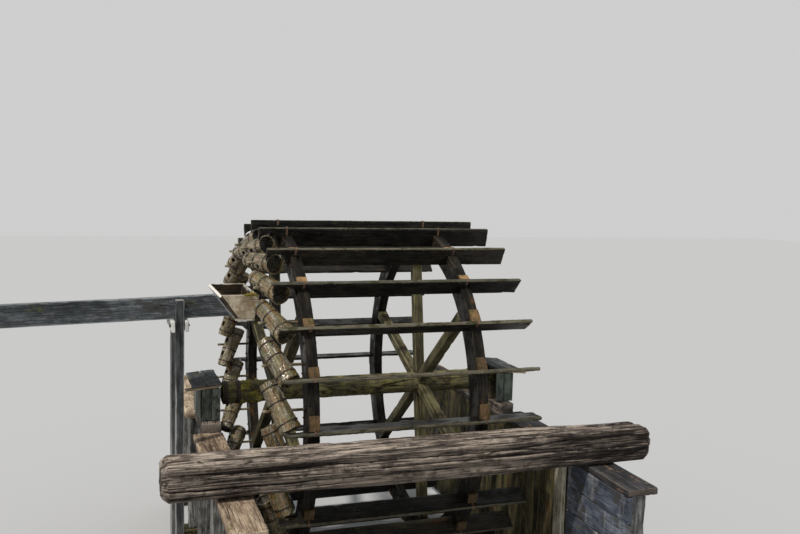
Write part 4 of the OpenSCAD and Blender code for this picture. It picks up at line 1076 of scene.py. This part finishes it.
hopperEnd("near", hopper["frontY"], "hopperWood")
hopperEnd("far", hopper["backY"] - hopper["board"], "soakedWood")

# A clump of moss heaped on the rim of the near board
heaped = {"from": -1.480, "to": -1.310, "step": 0.004, "rise": 0.034, "drop": 0.034, "thick": 0.010}
heap = Heap()
u = np.arange(heaped["from"], heaped["to"], heaped["step"])
swell = np.sin(np.linspace(0.0, math.pi, len(u))) ** 0.6
rise = heaped["rise"] * swell * (0.3 + 0.7 * smooth(lineRough(u, 60, 91), 0.25, 0.75))
hang = heaped["drop"] * swell * (0.3 + 0.7 * smooth(lineRough(u, 70, 93), 0.25, 0.75))
plump = heaped["thick"] * swell * (0.4 + 0.6 * lineRough(u, 120, 95, 2))
near, rim = hopper["frontY"], hopper["rimZ"]
rows = [(near + 0.002, rim - hang), (near - plump * 0.4, rim - hang), (near - plump, rim - hang * 0.5),
        (near - plump * 0.8, rim + rise * 0.2), (near - plump * 0.1, rim + rise * 0.8), (near + 0.008, rim + rise),
        (near + 0.017, rim + rise * 0.8), (near + 0.024, rim + rise * 0.2), (near + 0.022, rim - 0.006),
        (near + 0.010, rim - 0.012)]
points = strip(u, rows)
heap.sleeve(points, len(rows), Matrix(), points, turned=True)
heap.build("hopperMoss", "mossTuft", "frame", "moss_wood")


def slantBoard(name, lowX, highX, inwards, level, startY, endY, cut=None):
    # A long side of the hopper. Where it is cut into pieces, only its rim is pale: bleached wood, brightened to near
    # white as painted sunlight.
    heap = Heap()
    length, rise = endY - startY, math.hypot(highX - lowX, hopperHigh)
    slope = ((highX - lowX) / rise, 0, hopperHigh / rise)
    thick = level * slope[2]
    middle = ((lowX + highX) / 2 + inwards * level / 2, startY, (hopper["rimZ"] + hopper["floorZ"]) / 2)
    tip = abs(slope[0]) * thick / 2 + 0.001  # keeps the square edges inside the level rim and floor
    pieces = [(0.0, length, -rise / 2 + tip, rise / 2 - tip)] if cut is None else cut(length, rise, tip)
    wide, thin = 6, 3
    for start, end, low, high in pieces:
        at = Vector(middle) + Vector((0, start, 0)) + Vector(slope) * (low + high) / 2
        plank(heap, frameOf(at, alongY, slope), end - start, high - low, thick, boardWear, step=0.030, wide=wide,
              thin=thin)
        if cut is not None:
            edges = heap.facts[-1].reshape(-1, 2 * (wide + thin + 2), 6)[:, :, edgeColumn]
            edges[:] = 0.0
            # the top piece's rim gets the near-white edge, partly painted sunlight
            if high > rise / 2 - 2 * tip:
                edges[:, wide + 1:wide + thin + 2] = 1.4
    heap.build("hopper." + name, "soakedWood", "frame", "tan_wood", "hopper_" + name + "_board")


def leftPieces(length, rise, tip):  # the plank round its outlet into the flume
    foot, scale = -rise / 2, rise / hopperHigh
    low, high = foot + hopper["outletLow"] * scale, foot + hopper["outletHigh"] * scale
    start, end = hopper["outlet"]
    return [(0.0, length, foot + tip, low), (0.0, length, high, rise / 2 - tip),
            (0.0, start, low + 0.0004, high - 0.0004), (end, length, low + 0.0004, high - 0.0004)]


slantBoard("left", hopper["floorLeft"], hopper["rimLeft"], 1, hopper["stout"], hopper["frontY"], hopper["backY"],
           leftPieces)
slantBoard("right", hopper["floorRight"], hopper["rimRight"], -1, hopper["board"],
           hopper["frontY"] + hopper["board"], hopper["backY"] - hopper["board"])
floorMiddle = ((hopper["floorLeft"] + hopper["floorRight"]) / 2, hopper["frontY"],
               hopper["floorZ"] - hopper["board"] / 2)
timbers("hopper.floor", "hopperWood", "tan_wood", "hopper_floor_board", boardWear,
        [(frameOf(floorMiddle, alongY, alongX), hopperLong, hopper["floorRight"] - hopper["floorLeft"],
          hopper["board"])], wide=5)

flume = {"startX": -1.569, "underZ": 3.317, "fall": math.atan(0.029), "endX": -4.892, "height": 0.250,
         "farLow": 0.050, "board": 0.026, "nearY": -0.800, "width": 0.350, "sideGap": 0.0305, "floorGap": 0.048}
flumeLine = Vector((-math.cos(flume["fall"]), 0, -math.sin(flume["fall"])))
flumeUp = Vector((-math.sin(flume["fall"]), 0, math.cos(flume["fall"])))
flumeLength = (flume["startX"] - flume["endX"]) / math.cos(flume["fall"])
shear = (hopper["floorLeft"] - hopper["rimLeft"]) / hopperHigh


def flumeStart(y, gap, high):
    return Vector((flume["startX"], y, flume["underZ"])) + flumeLine * gap + flumeUp * high


def flumeUnder(x):
    return flume["underZ"] - (flume["startX"] - x) * math.tan(flume["fall"])


for side, out, height in (("near", flume["board"] / 2, flume["height"]),
                          ("far", flume["width"] + flume["board"] * 1.5, flume["height"] - flume["farLow"])):
    heap = Heap()
    start = flumeStart(flume["nearY"] + out, flume["sideGap"], height / 2)
    plank(heap, frameOf(start, flumeLine, flumeUp), flumeLength - flume["sideGap"], height, flume["board"],
          boardWear, wide=9)
    x, z = heap.points[0][:, 0], heap.points[0][:, 2]
    nearStart = 1.0 - smooth(flume["startX"] - x, 0.02, 0.9)
    x -= shear * (z - flume["underZ"]).clip(0.0, 0.3) * nearStart  # lies against the hopper's slanting side
    # painted sunlight: the tone is lighter in a band from about x = -2.7 to -2.0
    heap.facts[0][:, toneColumn] = 0.28 + 0.55 * (smooth(x, -3.00, -2.45) * (1.0 - smooth(x, -2.12, -1.98)))
    heap.build("flumeSide." + side, "flumeWood", "frame", "grey_wood", "flume_" + side + "_side")
start = flumeStart(flume["nearY"] + flume["board"] + flume["width"] / 2, flume["floorGap"], flume["board"] / 2)
timbers("flumeFloor", "flumeWood", "grey_wood", "flume_floor", boardWear,
        [(frameOf(start, flumeLine, alongY), flumeLength - flume["floorGap"], flume["width"], flume["board"])],
        step=0.06)

trestle = {"xs": (-2.180, -4.680), "ys": (-0.8503, -0.2003), "above": (0.220, 0.060), "post": 0.100,
           "beamLong": 0.870, "beamHigh": 0.125, "beamThick": 0.045, "beamOut": 0.110, "sill": 0.100}
postWear = {"round": 0.008, "warp": 0.004, "groove": 0.003, "chip": 0.008, "endBite": 0.010, "split": 0.005}
timbers("trestlePosts", "postWood", "grey_wood", "trestle_posts", postWear,
        ((frameOf((x, y, trestle["sill"]), up, alongX), flumeUnder(x) + above - trestle["sill"], trestle["post"],
          trestle["post"]) for x in trestle["xs"] for y, above in zip(trestle["ys"], trestle["above"])),
        step=0.045, wide=5, thin=5)


def beamCut(x):
    top = flumeUnder(x - trestle["beamThick"] / 2) - 0.0003
    start = (x, trestle["ys"][0] - trestle["beamOut"], top - trestle["beamHigh"] / 2)
    return frameOf(start, alongY, up), trestle["beamLong"], trestle["beamHigh"], trestle["beamThick"]


timbers("trestleBeams", "beamWood", "grey_wood", "trestle_beams", postWear,
        (beamCut(x + out * (trestle["post"] + trestle["beamThick"]) / 2) for x in trestle["xs"] for out in (-1, 1)),
        wide=5)
timbers("trestleSills", "wallWood", "wall_wood", "trestle_sills", beamWear,
        ((frameOf((-4.780, y, trestle["sill"] / 2), alongX, alongY), 3.115, 0.140, trestle["sill"])
         for y in trestle["ys"]), step=0.08, wide=3)
print("hopper, flume and trestles made")

# Nail heads in the boards
nail = {"radius": 0.0055, "height": 0.002, "sunk": 0.001, "stray": 0.004,
        "boardYs": (-3.300, -3.250, -2.520, -2.470), "boardUp": (-0.08, 0.08), "stripX": 1.846,
        "stripYs": (-2.165, -2.055), "stripZs": (0.35, 0.80, 1.25, 1.70), "coverOuts": (0.05, 0.15, 0.20, 0.30)}
heap = Heap()


def nailHead(at, facing):
    stray = Vector(rng.uniform(-nail["stray"], nail["stray"], 3).tolist())
    facing = Vector(facing)
    stray -= facing * stray.dot(facing)
    across = up if abs(facing.z) < 0.5 else alongY
    rod(heap, frameOf(Vector(at) + stray - facing * nail["sunk"], facing, across), nail["height"] + nail["sunk"],
        nail["radius"], 8, chamfer=0.0008)


for x in (hopper["floorLeft"] + 0.065, -1.462, hopper["floorRight"] - 0.022):
    nailHead((x, hopper["frontY"] - 0.0005, hopper["floorZ"] - 0.012), (0, -1, 0))
for high in (0.05, 0.14, 0.23):
    lean = high / hopperHigh
    for x, top in ((hopper["floorLeft"], hopper["rimLeft"]), (hopper["floorRight"], hopper["rimRight"])):
        inset = 0.070 if x == hopper["floorLeft"] else -0.018
        nailHead((x + inset + (top - x) * lean, hopper["frontY"], hopper["floorZ"] + high), (0, -1, 0))
for z in boardZs:
    for y in nail["boardYs"]:
        for above in nail["boardUp"]:
            nailHead((channel["rightX"] + 0.001, y, z + above), (-1, 0, 0))
for z in nail["stripZs"]:
    for y in nail["stripYs"]:
        nailHead((nail["stripX"], y, z), (-1, 0, 0))
for wallX, side in ((channel["leftX"], -1), (channel["rightX"], 1)):
    for y in bearing["battenYs"]:
        for out in nail["coverOuts"]:
            x = wallX - side * bearing["overhang"] + side * out
            z = bearing["coverZ"] - out * math.tan(tilt) + bearing["coverThick"] / 2
            nailHead((x, y, z), (side * math.sin(tilt), 0, math.cos(tilt)))
heap.build("boardNails", "rustyIron", "frame", "iron", flat=True)

beamBolt = {"washer": 0.022, "washerThick": 0.006, "sides": 16, "radius": 0.012, "height": 0.010}
heap = Heap()
for x in trestle["xs"]:
    for y in trestle["ys"]:
        for out in (-1, 1):
            face = x + out * (trestle["post"] / 2 + trestle["beamThick"] - 0.002)
            z = flumeUnder(x) - trestle["beamHigh"] / 2
            bolt(heap, frameOf((face, y, z), (out, 0, 0), alongY), beamBolt)
heap.build("beamBolts", "rustyIron", "frame", "iron", flat=True)
print("nails and bolts made")

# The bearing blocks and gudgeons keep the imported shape
packed = {"bearing_block_left": "blockWood", "bearing_block_right": "blockWood", "gudgeons": "turnedIron"}
for name, finish in packed.items():
    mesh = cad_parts[name].data
    mesh.materials.clear()
    mesh.materials.append(materials[finish])

view = {"place": (-2.9862, -10.3540, 4.8617), "yaw": 0.33660, "pitch": 0.10, "roll": 0.02594, "lens": 38.74,
        "sensor": 36.0}


def makeCamera():
    yaw, pitch, roll = view["yaw"], view["pitch"], view["roll"]
    level = Vector((math.cos(yaw), -math.sin(yaw), 0))
    ahead = Vector((math.sin(yaw) * math.cos(pitch), math.cos(yaw) * math.cos(pitch), -math.sin(pitch)))
    above = level.cross(ahead)
    right = level * math.cos(roll) + above * math.sin(roll)
    above = -level * math.sin(roll) + above * math.cos(roll)
    data = bpy.data.cameras.new("photoCamera")
    data.lens = view["lens"]
    data.sensor_width = view["sensor"]
    camera = bpy.data.objects.new("photoCamera", data)
    camera.matrix_world = shift(*view["place"]) @ Matrix((right, above, -ahead)).transposed().to_4x4()
    bpy.context.scene.collection.objects.link(camera)
    bpy.context.scene.camera = camera


ground = {"half": 60.0, "colour": (0.55, 0.55, 0.55, 1.0), "rough": 0.9}


def makeFloor():
    mesh = bpy.data.meshes.new("floor")
    half = ground["half"]
    mesh.from_pydata([(-half, -half, 0), (half, -half, 0), (half, half, 0), (-half, half, 0)], [], [(0, 1, 2, 3)])
    floor = bpy.data.objects.new("floor", mesh)
    bpy.context.scene.collection.objects.link(floor)
    material, start, shader = newMaterial("paleFloor")
    shader.inputs["Base Color"].default_value = ground["colour"]
    shader.inputs["Roughness"].default_value = ground["rough"]
    mesh.materials.append(material)


lights = {"sun": {"direction": (0.50, 0.30, -0.81), "strength": 2.3, "softness": 3.0, "colour": (1.0, 0.96, 0.90)},
          "sky": 0.50, "skyColour": (0.92, 0.96, 1.0), "backdrop": (0.62, 0.62, 0.62)}


def makeLights():
    data = bpy.data.lights.new("sun", "SUN")
    data.energy = lights["sun"]["strength"]
    data.angle = math.radians(lights["sun"]["softness"])
    data.color = lights["sun"]["colour"]
    sun = bpy.data.objects.new("sun", data)
    sun.rotation_euler = Vector(lights["sun"]["direction"]).to_track_quat("-Z", "Y").to_euler()
    bpy.context.scene.collection.objects.link(sun)
    world = bpy.data.worlds.new("studio")
    world.use_nodes = True
    bpy.context.scene.world = world
    start = Wire(world.node_tree)
    camera, glossy, clear = (start.node("ShaderNodeLightPath", {}, {}, "Is " + kind + " Ray")
                             for kind in ("Camera", "Glossy", "Transmission"))
    sky = start.node("ShaderNodeRGB")
    sky.socket.default_value = (*(lights["sky"] * part for part in lights["skyColour"]), 1.0)
    background = world.node_tree.nodes["Background"]
    sky.over((*lights["backdrop"], 1.0), (camera + glossy + clear).lowest(1.0)).into(background, "Color")
    background.inputs["Strength"].default_value = 1.0


makeCamera()
makeFloor()
makeLights()
bpy.context.scene.view_settings.view_transform = "Standard"
print("camera, floor and lights made")
